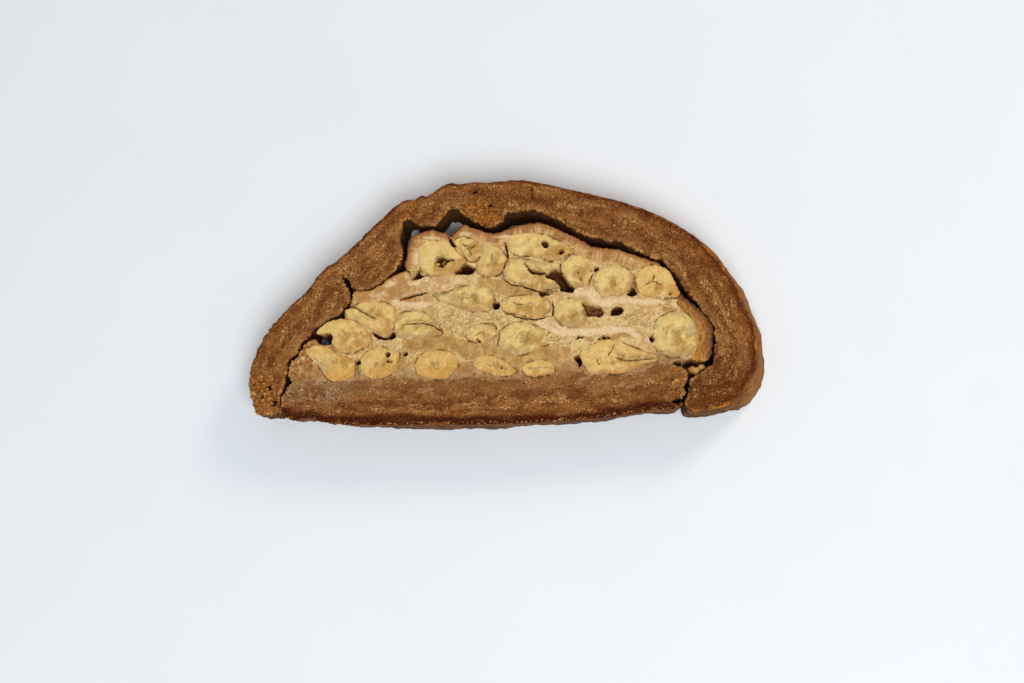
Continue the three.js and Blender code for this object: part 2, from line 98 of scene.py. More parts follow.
def lumps(points, size, seed=0.0):
    """Smooth noise from about -1 to 1, with lumps of a given size in mm, at points of 2 or 3 numbers.

    Each seed gives lumps of its own, here and in what follows."""
    q = np.zeros((len(points), 3))
    q[:, :points.shape[1]] = points / size
    q += (seed, seed * 0.7 + 3.1, seed * 1.3 - 1.7)
    return 1.5 * np.array([noise.noise(v) for v in q.tolist()])


def cells(points, size, seed):
    """How far each point is from the middles of its two nearest cells, in cells of a given size in mm."""
    q = np.column_stack([points[:, :2] / size, np.full(len(points), float(seed))])
    return np.array([noise.voronoi(v)[0][:2] for v in q.tolist()])


def grains(points, size, seed=0.0):
    """1 on the tops of grains of a given size in mm, falling to 0 in the creases between them."""
    near = cells(points, size, seed)
    return ease(near[:, 1] - near[:, 0], 0.0, 0.55)


def pores(points, size, seed=0.0):
    """0 to 1 near the middles of scattered round cells of a given size in mm."""
    near = cells(points, size, seed)[:, 0]
    kept = lumps(points, 2.3 * size, seed + 5) > 0.1
    return np.clip(1 - near / 0.3, 0, 1) * kept


def ease(value, low, high):
    """A smooth step from 0 at low to 1 at high."""
    t = np.clip((value - low) / (high - low), 0, 1)
    return t * t * (3 - 2 * t)


def ruler(points, closed=False):
    """A smooth line through the points, as places close enough together to measure from."""
    return even_line(points, RULER_STEP, closed)


def measure(points, line):
    """How far each point is from a ruler, and how far along it the nearest place is."""
    tree = kdtree.KDTree(len(line))
    for i, (x, y) in enumerate(line):
        tree.insert((x, y, 0), i)
    tree.balance()
    found = [tree.find((x, y, 0)) for x, y in points.tolist()]
    return np.array([f[2] for f in found]), RULER_STEP * np.array([f[1] for f in found], float)


def boxed(points, line, margin=0.0):
    """The numbers of the points that lie in a line's box, with a margin in mm round it."""
    low, high = line.min(0) - margin, line.max(0) + margin
    return np.flatnonzero(np.all((points > low) & (points < high), axis=1))


def within(points, loop):
    """Which points lie inside a closed loop."""
    x, y = points[:, 0], points[:, 1]
    hit = np.zeros(len(points), bool)
    for (ax, ay), (bx, by) in zip(loop, np.roll(loop, -1, 0)):
        if ay == by:
            continue
        crosses = (ay > y) != (by > y)
        hit ^= crosses & (x < (bx - ax) * (y - ay) / (by - ay) + ax)
    return hit


def outward(loop):
    """The unit normals that point out of an anticlockwise loop."""
    along = np.roll(loop, -1, 0) - np.roll(loop, 1, 0)
    along /= np.linalg.norm(along, axis=1)[:, None] + 1e-9
    return np.column_stack([along[:, 1], -along[:, 0]])


def anticlockwise(loop):
    """The same loop, turned round if it runs clockwise."""
    x, y = loop[:, 0], loop[:, 1]
    return loop if np.sum(x * np.roll(y, -1) - y * np.roll(x, -1)) > 0 else loop[::-1]


def drift(points):
    """How the food has given under the knife: it moves every piece of the slice alike."""
    x, y, z = points.T
    lean = ((CUT - z) / CUT)[:, None]
    fine = np.column_stack([lumps(points, 2.4, 1) * 0.22 + lumps(points, 1.1, 2) * 0.10,
                            lumps(points, 2.4, 3) * 0.22 + lumps(points, 1.1, 4) * 0.10])
    broad = np.column_stack([lumps(points, 16, 5), lumps(points, 16, 6)])
    return fine + 1.1 * lean * broad


def cap_points(loop, step, fine=()):
    """Points of a cut face: its edge, the fine lines across it and an even spread between them."""
    low, high = loop.min(0) - step, loop.max(0) + step
    xs = np.arange(low[0], high[0], step)
    ys = np.arange(low[1], high[1], step * 0.866)
    grid = np.array([(x + (step / 2 if k % 2 else 0), y) for k, y in enumerate(ys) for x in xs])
    grid += np.random.default_rng(7).uniform(-0.22, 0.22, grid.shape) * step
    fine = np.array([p for line in fine for p in line]).reshape(-1, 2)
    if len(fine):
        fine = fine[within(fine, loop)]
        fine = fine[measure(fine, loop)[0] > 0.2]
    grid = grid[within(grid, loop)]
    grid = grid[measure(grid, np.vstack([loop, fine]))[0] > 0.6 * step]
    return np.vstack([loop, fine, grid])


def triangles(points, rim):
    """The corners and faces over the points, inside the closed rim that the first of them make."""
    edges = [(i, (i + 1) % rim) for i in range(rim)]
    corners, _, faces, *_ = delaunay_2d_cdt([tuple(p) for p in points.tolist()], edges, [], 1, 1e-7)
    return np.array([tuple(p) for p in corners]), faces


def new_piece(name, places, faces, marks, sharp=None):
    """A piece of the slice, from corners in mm, faces, and marks that give a number for each corner.

    Where an angle in degrees is given, edges that are sharper stay sharp."""
    mesh = bpy.data.meshes.new(name)
    mesh.from_pydata((places * MM).tolist(), [], faces)
    for mark, numbers in marks.items():
        mesh.attributes.new(mark, "FLOAT", "POINT").data.foreach_set("value", np.asarray(numbers, float))
    mesh.shade_smooth()
    if sharp is not None:
        mesh.set_sharp_from_angle(angle=math.radians(sharp))
    mesh.validate()
    piece = bpy.data.objects.new(name, mesh)
    bpy.context.scene.collection.objects.link(piece)
    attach(piece, "root")
    return piece


def slab(name, loop, relief, marks, step, wall, fine=(), flare=0.0, levels=10):
    """A closed solid that runs through the slice, from its loop on the upper cut to the lower cut.

    The wall's unevenness and the flare, in mm, are one number or one for each point of an
    anticlockwise loop. The wall has as many rows of faces as there are levels."""
    loop = anticlockwise(loop)
    rim = len(loop)
    top, top_faces = triangles(cap_points(loop, step, fine), rim)
    edge = measure(top, ruler(loop, closed=True))[0]
    edge[:rim] = 0
    top = np.column_stack([top, np.minimum(CUT + relief(top, edge), HIGHEST)])
    out = outward(loop)
    calm = sum(np.roll(loop, k, 0) for k in range(-4, 5)) / 9
    rings = []
    for level in range(1, levels + 1):
        share = level / levels
        inset = min(1, 2.5 * share)
        ring = np.column_stack([loop * (1 - inset) + calm * inset, top[:rim, 2] * (1 - share)])
        uneven = 0.8 * lumps(ring, 4, 7) + lumps(ring, 2.6, 8) + 0.5 * lumps(ring, 1.2, 9)
        push = wall * min(1, 3 * share) * uneven + flare * share**0.8
        ring[:, :2] += out * push[:, None]
        rings.append(ring)
    foot = rings.pop()[:, :2]
    under, under_faces = triangles(cap_points(foot, UNDER_STEP), rim)
    rise = 0.25 + 0.22 * lumps(under, 2.2, 11) + 0.15 * lumps(under, 0.9, 12)
    under = np.column_stack([under, np.clip(rise, 0, 0.7)])
    places = np.vstack([top] + rings + [under])
    faces = [tuple(f) for f in top_faces]
    starts = [0] + [len(top) + rim * k for k in range(levels)]
    for high, low in zip(starts, starts[1:]):
        faces += [(low + i, low + (i + 1) % rim, high + (i + 1) % rim, high + i) for i in range(rim)]
    faces += [tuple(starts[-1] + i for i in reversed(f)) for f in under_faces]
    in_wall = rim * len(rings)
    flat = np.vstack([top[:, :2]] + [loop] * len(rings) + [under[:, :2]])
    values = {
        "edge": np.concatenate([edge, np.zeros(in_wall), measure(under[:, :2], foot)[0]]),
        "side": np.concatenate([np.zeros(len(top)), np.ones(in_wall), np.zeros(len(under))]),
        "sunk": np.concatenate([CUT - top[:, 2], np.zeros(in_wall), under[:, 2]]),
        **marks(flat),
    }
    places[:, :2] += drift(places) - MIDDLE
    return new_piece(name, places, faces, values, sharp=50)


class Wire:
    """A value inside a material. Sums written with it become Math nodes."""

    def __init__(self, tree, socket):
        self.tree = tree
        self.socket = socket

    def join(self, operation, first, second):
        node = self.tree.nodes.new("ShaderNodeMath")
        node.operation = operation
        for place, value in zip(node.inputs, (first, second)):
            if isinstance(value, Wire):
                self.tree.links.new(value.socket, place)
            else:
                place.default_value = value
        return Wire(self.tree, node.outputs[0])

    def __add__(self, other):
        return self.join("ADD", self, other)

    def __radd__(self, other):
        return self.join("ADD", other, self)

    def __sub__(self, other):
        return self.join("SUBTRACT", self, other)

    def __rsub__(self, other):
        return self.join("SUBTRACT", other, self)

    def __mul__(self, other):
        return self.join("MULTIPLY", self, other)

    def __rmul__(self, other):
        return self.join("MULTIPLY", other, self)


class Finish:
    """A material in the making: the shader's fixed sockets first, then what varies over the food."""

    def __init__(self, name, fixed):
        self.material = bpy.data.materials.new(name)
        self.material.use_nodes = True
        self.tree = self.material.node_tree
        self.shader = self.tree.nodes["Principled BSDF"]
        for socket, value in fixed.items():
            self.shader.inputs[socket].default_value = value

    def node(self, kind, settings, sockets, output=0):
        """Any node: its type, its settings, and the values or links of its sockets."""
        node = self.tree.nodes.new(kind)
        for setting, value in settings.items():
            setattr(node, setting, value)
        for socket, value in sockets.items():
            if isinstance(value, Wire):
                self.tree.links.new(value.socket, node.inputs[socket])
            else:
                node.inputs[socket].default_value = value
        return Wire(self.tree, node.outputs[output])

    def mark(self, name):
        """A number that the mesh holds for each of its corners."""
        return self.node("ShaderNodeAttribute", {"attribute_name": name}, {}, "Fac")

    def place(self):
        """Where a spot of the surface is, in mm."""
        metres = self.node("ShaderNodeTexCoord", {}, {}, "Object")
        return self.node("ShaderNodeVectorMath", {"operation": "SCALE"}, {0: metres, "Scale": 1 / MM})

    def grain(self, at, size, detail=3.0, seed=0.0):
        """Noise from 0 to 1 with lumps of a given size in mm."""
        moved = self.node("ShaderNodeVectorMath", {"operation": "ADD"}, {0: at, 1: (seed, -seed, seed)})
        return self.node("ShaderNodeTexNoise", {}, {"Vector": moved, "Scale": 1 / size, "Detail": detail})

    def stretched(self, run, across, depth):
        """A place made of distances along and across the food, so that noise follows it."""
        return self.node("ShaderNodeCombineXYZ", {}, {0: run, 1: across, 2: depth})

    def step(self, value, low, high):
        """A smooth step from 0 at low to 1 at high."""
        return self.node("ShaderNodeMapRange", {"interpolation_type": "SMOOTHSTEP"},
                         {"Value": value, "From Min": low, "From Max": high})

    def paint(self, under, over, share):
        """A colour with another over it, by a share from 0 to 1."""
        return self.node("ShaderNodeMix", {"data_type": "RGBA"}, {0: share, 6: under, 7: over}, 2)

    def coats(self, colour, coats):
        """A colour with others painted over it in turn, each by its share from 0 to 1."""
        for over, share in coats:
            colour = self.paint(colour, over, share)
        return colour

    def finish(self, colour, roughness, height, depth, strength=1.0):
        """The material, with a relief in its surface that is as deep as a given number of mm."""
        relief = {"Height": height, "Distance": depth * MM, "Strength": strength}
        bump = self.node("ShaderNodeBump", {}, relief)
        for socket, value in (("Base Color", colour), ("Roughness", roughness), ("Normal", bump)):
            self.tree.links.new(value.socket, self.shader.inputs[socket])
        return self.material


def seen(red, green, blue):
    """A colour given as it looks, from 0 to 255, as the light that it returns."""
    light = [((v / 255 + 0.055) / 1.055) ** 2.4 if v > 10 else v / 3294.6 for v in (red, green, blue)]
    return (*light, 1)


# RYE["inner"] is painted shade: the colour of the walls inside the gaps and cracks, where the crust shades
# itself.
RYE = {"crumb": seen(140, 87, 42), "dark": seen(103, 56, 21), "light": seen(170, 111, 57),
       "bran": seen(220, 168, 100), "rim": seen(66, 20, 1), "baked": seen(190, 112, 34),
       "rust": seen(142, 74, 26), "floury": seen(158, 114, 70), "soaked": seen(145, 98, 53),
       "pore": seen(48, 25, 10), "torn": seen(176, 108, 42), "broken": seen(208, 150, 78),
       "inner": seen(98, 63, 34)}


def rye_finish(name):
    """Rye crust: the cut with rows of bran flecks, a dark rim, broken edges, and the floury outside, with
    painted shade and painted lamp light.
    """
    rye = Finish(name, {"Specular IOR Level": 0.12})
    at = rye.place()
    run, across, side = rye.mark("run"), rye.mark("across"), rye.mark("side")
    rim, damp, rough, gold_and_lamp_light = rye.mark("rim"), rye.mark("soak"), rye.mark("torn"), rye.mark("gold_and_lamp_light")
    high = rye.node("ShaderNodeSeparateXYZ", {}, {0: at}, 2)
    layered = rye.stretched(0.34 * run, across, high)
    broad = rye.grain(at, 8.0, 2.0)
    mottle = rye.grain(at, 2.2, 3.0, seed=4.0)
    crumb = rye.grain(at, 0.9, 4.0, seed=9.0)
    fine = rye.grain(at, 0.32, 2.0, seed=21.0)
    patchy = rye.grain(layered, 3.0, 2.0, seed=27.0)
    tone = 0.35 * patchy + 0.3 * mottle + 0.35 * crumb
    # rust-brown near the outside, plus painted warm lamp light that grows towards the right end of the dome
    rust = (1 - rye.step(across + 4.0 * mottle - 2.0, 0.5, 6.5)) * (0.3 + 0.5 * rye.mark("rust_and_lamp_light"))
    smear = rye.step(rye.grain(rye.stretched(0.4 * run, across, high), 2.4, 2.0, seed=19.0), 0.56, 0.68)
    rows = rye.step(rye.grain(layered, 2.4, 2.0, seed=2.0), 0.44, 0.58)
    fleck = rye.grain(rye.stretched(0.7 * run, across, high), 0.42, 2.0, seed=6.0)
    crowd = 0.11 * rows * rye.step(patchy, 0.4, 0.54)
    flecks = rye.step(fleck + crowd - 0.03 * damp - 0.03 * rust, 0.615, 0.68) * (1 - 0.85 * rim)
    pore = rye.step(rye.grain(at, 1.0, 2.0, seed=13.0), 0.66, 0.73) * (1 - 0.4 * damp)
    grainy = rye.mark("curd") * rye.step(0.5 * mottle + 0.5 * broad, 0.42, 0.54)
    # the thin golden line at the outer edge is baked colour with a painted highlight of warm lamp light,
    # brighter towards the right
    thin = 1 - rye.step(across + 3.4 * mottle + 2.0 * crumb - 2.7, 0.0, 0.3 + 0.7 * gold_and_lamp_light)
    golden = thin * gold_and_lamp_light * rye.step(0.5 * broad + 0.5 * crumb, 0.46, 0.56)
    cut = rye.coats(RYE["dark"], [
        (RYE["crumb"], rye.step(tone, 0.41, 0.54)),
        (RYE["light"], 0.75 * rye.step(0.35 * patchy + 0.35 * crumb + 0.3 * fine, 0.5, 0.59)),
        (RYE["dark"], 0.75 * rye.step(rye.grain(at, 0.55, 2.0, seed=17.0), 0.54, 0.64)),
        (RYE["rust"], 0.7 * rust),
        (RYE["soaked"], 0.42 * damp),
        (seen(172, 130, 90), 0.7 * smear * damp),
        (RYE["rim"], rim * rye.step(1.34 - crumb, 0.45, 0.8)),
        (RYE["bran"], flecks * (0.62 + 0.5 * mottle)),
        (RYE["pore"], 0.8 * pore),
        (seen(136, 103, 74), 0.7 * grainy),
        (seen(214, 186, 144), 0.9 * grainy * rye.step(0.6 * fleck + 0.4 * fine, 0.5, 0.59)),
        (RYE["baked"], golden),
        (seen(128, 77, 32), 0.8 * rough),
        (RYE["torn"], rough * rye.step(0.6 * crumb + 0.4 * mottle, 0.44, 0.56)),
        (RYE["broken"], 0.8 * rough * rye.step(0.5 * fine + 0.5 * crumb, 0.53, 0.63)),
        (RYE["broken"], rye.mark("broken") * rye.step(crumb + 0.3 * mottle, 0.56, 0.74)),
        # painted shade: hollows and slits turn near black with depth below the cut, torn crust less so
        (RYE["pore"], rye.step(rye.mark("sunk") - rough, 1.8, 3.6)),
        # painted shade: the walls inside the gaps and cracks turn dark brown below the cut, where the crust
        # shades them
        (RYE["inner"], side * rye.step(high, CUT - 0.4, CUT - 2.4)),
    ])
    dusty = rye.grain(rye.stretched(0.5 * run, across, 0.7 * high), 3.4, 4.0, seed=33.0)
    creases = rye.grain(rye.stretched(0.35 * run, across, 1.2 * high), 2.0, 3.0, seed=41.0)
    crack = rye.step(creases, 0.485, 0.5) * rye.step(creases, 0.515, 0.5) * rye.step(mottle, 0.46, 0.6)
    # painted shade: the loaf's flat side and the foot of the dome are painted darker and greyer, as they
    # face away from the light
    shaded_underside = rye.mark("shaded_underside") * rye.step(0.5 * dusty + 0.5 * broad, 0.66, 0.42)
    outside = rye.coats(seen(128, 82, 44), [
        (RYE["floury"], rye.step(0.6 * dusty + 0.4 * broad, 0.38, 0.64)),
        (seen(144, 86, 40), 0.5 * rye.step(broad, 0.5, 0.64)),
        # painted warm lamp light: the outside turns lighter and warmer towards the right end of the dome
        (seen(164, 104, 46), 0.4 * gold_and_lamp_light),
        (RYE["dark"], 0.5 * rye.step(crumb, 0.52, 0.66)),
        (RYE["bran"], 0.4 * rye.step(rye.grain(at, 0.4, 2.0, seed=31.0), 0.58, 0.66)),
        (RYE["rim"], 0.8 * crack),
        (seen(96, 66, 44), shaded_underside),
        (seen(92, 50, 24), 0.85 * rye.step(high + 3.0 * mottle - 1.5, CUT - 4.5, CUT - 0.8)),
    ])
    colour = rye.paint(cut, outside, side * rye.mark("baked"))
    height = crumb + 0.6 * fine + 0.6 * flecks - 1.6 * pore - 0.35 * damp * crumb - 1.5 * side * crack
    return rye.finish(colour, 0.94 - 0.25 * damp - 0.1 * fine, height, 0.36, 1.0)


def crumb_relief(points):
    """Cut rye: grains of bran and crumb, and small round pores."""
    rise = (0.15 * lumps(points, 4.5, 20) + 0.14 * lumps(points, 1.6, 21) + 0.16 * grains(points, 1.3, 22)
            + 0.1 * lumps(points, 0.8, 25))
    return rise - 0.16 - 0.5 * pores(points, 2.6, 23) - 0.35 * pores(points, 1.5, 24)


def worn_edge(edge, width=0.7, drop=0.45):
    """How far a cut face has rounded off near its edge."""
    return drop * (1 - np.sqrt(np.clip(1 - (1 - np.clip(edge / width, 0, 1)) ** 2, 0, 1)))


def roughened(loop, amount, size=1.3):
    """A crumbly version of a loop."""
    push = amount * (lumps(loop, size, 30) + 0.9 * lumps(loop, size * 0.5, 31))
    return loop + outward(loop) * push[:, None]


HOLLOWS = [  # the outlines and depths in mm of the places where food has drawn apart or torn open
    ([(-71, -11.9), (-69, -13), (-65.6, -11.6), (-64.8, -14), (-65.6, -15.6), (-68, -16.1),
      (-70.8, -14.6)], 14),
    ([(-49.5, -11.6), (-46.5, -12.9), (-43.5, -13.2), (-42, -11.5), (-40.3, -13.4), (-43, -14.4),
      (-46.5, -14.2)], 11),
    ([(-34.3, 8.5), (-31.6, 12.3), (-31.2, 10.6), (-29.2, 10.3), (-31.5, 9.1)], 8),
    ([(-26, 15), (-24.5, 17.3), (-21, 16.7), (-17.8, 16.1), (-20.5, 15.3), (-22.5, 13.3)], 6),
    ([(-18, 11), (-16, 12.8), (-13.9, 14.7), (-12, 13.5), (-10, 12.6), (-10.5, 11.4), (-15, 10.5)], 12),
    ([(-3.2, -1), (-1, -0.8), (-0.9, -3), (-3, -3.2)], 9),
    ([(16.5, 9.3), (18, 10.4), (20.5, 11.8), (22.5, 11), (24, 8.5), (25, 7), (27.5, 4), (27.3, 3),
      (24, 3.2), (22.3, 3.6), (22, 5.5), (20, 7.5)], 12),
    ([(13.8, 3.2), (17, 3), (19.5, 2.6), (17, 1.8), (14.8, 2)], 5),
    ([(30.5, -1), (34, -2.4), (37.5, -3), (38.7, -5), (37.5, -6.6), (34.5, -6.4), (32, -6.4),
      (31.2, -4)], 3.4),
    ([(41.5, -4), (43.2, -2.9), (45, -2.8), (46, -4), (44.5, -6), (41.2, -6.1)], 8),
    ([(47.5, 1.6), (50.2, 4.6), (51.3, 2.2), (49.2, 1.2)], 7),
    ([(27, -22), (28.2, -21.4), (30.2, -24.6), (29.2, -25.7), (28.4, -24)], 9),
    ([(36, -15.6), (38.8, -13.8), (41, -14.5), (39, -15)], 5),
    ([(15, 22.6), (16.8, 22.9), (17.8, 21), (16.6, 20.2), (15.4, 21.2)], 5),
    ([(20.8, 18.2), (22.5, 19.4), (24, 18.8), (22.4, 17.8)], 4),
    ([(34.2, 11.5), (36.3, 12.8), (37, 11.9), (35.2, 10.7)], 4),
    ([(-55.4, -22.3), (-53.8, -22.4), (-53.9, -23.8), (-55.2, -23.9)], 6),
    ([(-44.6, -20), (-43.4, -19.2), (-42.4, -20.2), (-43.4, -21.4)], 4),
    ([(-44.6, -22.8), (-42.4, -22.4), (-41.4, -23), (-42.6, -23.5)], 3),
    ([(55.4, -15), (56.4, -14.2), (57.6, -15.2), (56.6, -16.8)], 6),
    ([(63.1, 1.8), (63.8, 2.5), (64.4, 1.8), (63.7, 1.2)], 2.5),
    ([(-0.4, -25.8), (0, -25.3), (0.4, -25.8), (0, -26.3)], 2.5),
    ([(-37.6, -19.8), (-36.2, -19), (-35.8, -20.4), (-37, -21)], 6),
    ([(63.6, -24.6), (66.4, -24), (68.4, -25.2), (66.4, -25.8)], 5),
    ([(-12.4, 43.2), (-10.8, 44.3), (-8.8, 43.9), (-9.6, 42.7), (-11, 42.4)], 3),
    ([(-6.4, 38.2), (-4.6, 39), (-3.8, 38), (-5.2, 37.5)], 2.5),
    ([(-89.8, -31.2), (-88, -30.8), (-87.6, -32.8), (-89.2, -33.4)], 3.5),
    ([(-88, -37.2), (-86.4, -36.8), (-86, -38.6), (-87.6, -39.2)], 3.5),
    ([(-92.2, -35.4), (-91.2, -34.8), (-90.8, -36), (-91.8, -36.6)], 3),
    ([(63.6, -39), (64.6, -38.1), (67, -38), (67.6, -38.8), (66.8, -39.6), (65.2, -39.7)], 7),
]
SLITS = [  # the same for narrow slits: the line, its width and its depth
    ([(0, 9), (3, 6.7), (8, 5.5), (14, 3.5), (21, 3.4)], 0.45, 3.5),
    ([(2, -5), (6, -6.3), (12, -7.3), (18, -6.3)], 0.45, 3),
    ([(19, -0.6), (19.4, -3), (19.2, -6)], 0.45, 3),
    ([(28, -14.8), (29.4, -14.3), (31, -14.3)], 0.5, 4),
    ([(-59, -1.4), (-56.5, -2), (-52, -4.5), (-48, -6.5)], 0.4, 1.6),
    ([(-37.2, -9), (-33, -8.4), (-29, -8.5), (-22.5, -11.5)], 0.4, 1.9),
    ([(-38.7, 1), (-34, 2.3), (-29, 3.5)], 0.6, 4.5),
    ([(-9.4, -14.6), (-8.2, -16)], 0.5, 2.5),
    ([(8.8, 14.5), (10.2, 12), (12, 10.8), (17, 10.2)], 0.7, 4.5),
    ([(57.6, 9.4), (57.3, 6.4)], 0.4, 1.6),
    ([(54.2, 5.2), (57.4, 6.6), (60.4, 5.3)], 0.4, 1.6),
    ([(28.8, 10.9), (29.4, 10)], 0.5, 1.6),
    ([(30, 8.6), (30.2, 7.6)], 0.45, 1.6),
    ([(42.3, -17.5), (41.4, -19.4), (40, -21.3)], 0.35, 1.4),
    ([(35.5, -22.5), (36.2, -24), (37, -25)], 0.35, 1.4),
    ([(43, -22.2), (47, -23.6), (52, -23.2), (57, -23)], 0.4, 1.4),
    ([(11.5, 44), (11.4, 42), (12, 40)], 0.4, 1.2),
    ([(-59.5, 0.8), (-60.6, -0.8)], 0.4, 2),
    ([(-20.8, 25.4), (-19.7, 23.6), (-17.9, 21.2)], 0.75, 5),
    ([(1.3, 22.4), (1.9, 19.4), (2.2, 16.6)], 0.6, 4),
    ([(22.6, 14.8), (22.2, 12.4), (22.9, 9.8)], 0.35, 2),
    ([(33.8, 12.2), (34.2, 9.4), (33.4, 6.4)], 0.35, 2),
    ([(50.3, 9.6), (50.2, 7), (50.6, 4.6)], 0.35, 2),
    ([(1, 12.6), (1.5, 15)], 0.35, 2),
    ([(-15.4, 22.8), (-13.2, 20.8), (-11.8, 18.4)], 0.45, 1.6),
    ([(-10.4, 22), (-12.4, 20.4)], 0.4, 1.2),
    ([(-1.6, -17.4), (-1.2, -14), (-0.8, -11.4)], 0.35, 1.5),
    ([(4, -0.6), (6, -1.4), (8.4, -1.6)], 0.35, 0.9),
    ([(-10.8, -13.4), (-8.4, -12.2), (-6, -10.8)], 0.4, 0.9),
    ([(5, -15.4), (6.4, -13), (8, -11.6)], 0.35, 0.7),
    ([(-67.4, -31.4), (-66.2, -29.6)], 0.3, 0.8),
    ([(64.6, -10), (62.6, -11.6), (61.8, -14)], 0.35, 0.8),
]
FINE = 0.34  # mm between the points that follow a hollow or a slit

hollow_loops = [(anticlockwise(ruler(outline, closed=True)), depth) for outline, depth in HOLLOWS]
slit_lines = [(ruler(line), width, depth) for line, width, depth in SLITS]


def carved(points):
    """How far the hollows and slits go down at each point."""
    depth = np.zeros(len(points))
    ragged = 0.22 * lumps(points, 1.1, 41)
    for loop, deepest in hollow_loops:
        near = boxed(points, loop, 0.6)
        if len(near):
            away = measure(points[near], loop)[0] * np.where(within(points[near], loop), 1, -1)
            depth[near] = np.maximum(depth[near], deepest * ease(away + ragged[near], -0.1, 0.55))
    for line, width, deepest in slit_lines:
        near = boxed(points, line, width)
        if len(near):
            away, run = measure(points[near], line)
            length = RULER_STEP * len(line)
            taper = ease(run, -0.2, 0.25 * length) * ease(length - run, -0.2, 0.25 * length)
            narrow = width * (0.35 + 0.65 * taper) * (1 + 1.2 * ragged[near])
            depth[near] = np.maximum(depth[near], deepest * ease(narrow - away, 0, 0.8 * width))
    return depth


def fine_lines():
    """Rows of points that let a cut face follow the hollows and slits closely."""
    rows = []
    for outline, _ in HOLLOWS:
        loop = anticlockwise(even_line(outline, FINE))
        rows += [loop + outward(loop) * shift for shift in (0.2, -0.25)]
    for line, width, _ in SLITS:
        middle = even_line(line, FINE, closed=False)
        aside = outward(middle)
        aside[0], aside[-1] = aside[1], aside[-2]
        rows += [middle + aside * shift * width for shift in (-0.9, 0, 0.9)]
    return rows


fine_rows = fine_lines()
BASE_STEP = 0.45  # mm between the points of the base's cut face
base_loop = anticlockwise(even_line(UNDERSIDE + RIGHT_BREAK + BED + LEFT_BREAK, BASE_STEP))
base_loop = roughened(base_loop, 0.07 + 0.13 * (base_loop[:, 1] > -40))
underside_line = ruler(UNDERSIDE)
bed_line = ruler(BED)
break_lines = np.vstack([ruler(RIGHT_BREAK + BED[:1]), ruler(BED[-1:] + LEFT_BREAK + UNDERSIDE[:1])])


def base_marks(points):
    """What the rye needs to know: distances in mm, and from 0 to 1 how wet, dark or torn it is."""
    across, run = measure(points, underside_line)
    from_bed = measure(points, bed_line)[0]
    from_break = measure(points, break_lines)[0]
    wet = lumps(points * (0.4, 1), 3.2, 51)
    return {
        "across": across,
        "run": run,
        "soak": 1 - ease(from_bed + 1.6 * wet, 1.5, 7.5),
        "rim": 1 - ease(across + 0.9 * lumps(points * (0.3, 1), 2.4, 54), 1.8, 4.8),
        "torn": 0.8 * (1 - ease(from_break, 0.5, 4)) * ease(lumps(points, 3, 52), -0.2, 0.6),
        "broken": (1 - ease(from_break, 0.1, 1.6)) * ease(lumps(points, 2.5, 55), -0.3, 0.5),
        "rust_and_lamp_light": np.ones(len(points)),
        "gold_and_lamp_light": np.full(len(points), 0.45),
        "baked": points[:, 1] < -39,
        "curd": ease(-points[:, 0] + 3 * wet, 50, 72) * (1 - ease(from_bed, 4, 11)),
        "shaded_underside": np.full(len(points), 0.9),
    }


def base_relief(points, edge):
    """How far the cut face stands above the cut: less where it is soaked, broken at both ends."""
    streaks = 0.1 * lumps(points * (0.25, 1), 1.1, 53)
    from_bed = measure(points, bed_line)[0]
    from_break = measure(points, break_lines)[0]
    wet = 1 - ease(from_bed, 1, 6)
    crag = 0.8 * (grains(points, 1.8, 56) - 0.8) + 0.3 * lumps(points, 1, 57)
    loose = (1 - ease(from_break, 0.5, 3.5)) * crag
    worn = worn_edge(edge) * ease(from_bed, 0.3, 1.8)
    return (1 - 0.6 * wet) * (crumb_relief(points) + streaks) + loose - worn - carved(points) - 0.12


base_crust = slab("base_crust", base_loop, base_relief, base_marks, BASE_STEP, wall=0.25,
                  fine=fine_rows, flare=-0.8 * (base_loop[:, 1] < -40))
base_crust.data.materials.append(rye_finish("rye_base"))
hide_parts("crust_base")


# ---- The fish ----
# Small whole fish, laid in rows the length of the loaf and baked for hours, so that their bones are
# soft. The knife crosses them: butter-yellow rounds with fine fibres, a dark skin and a hollow belly.

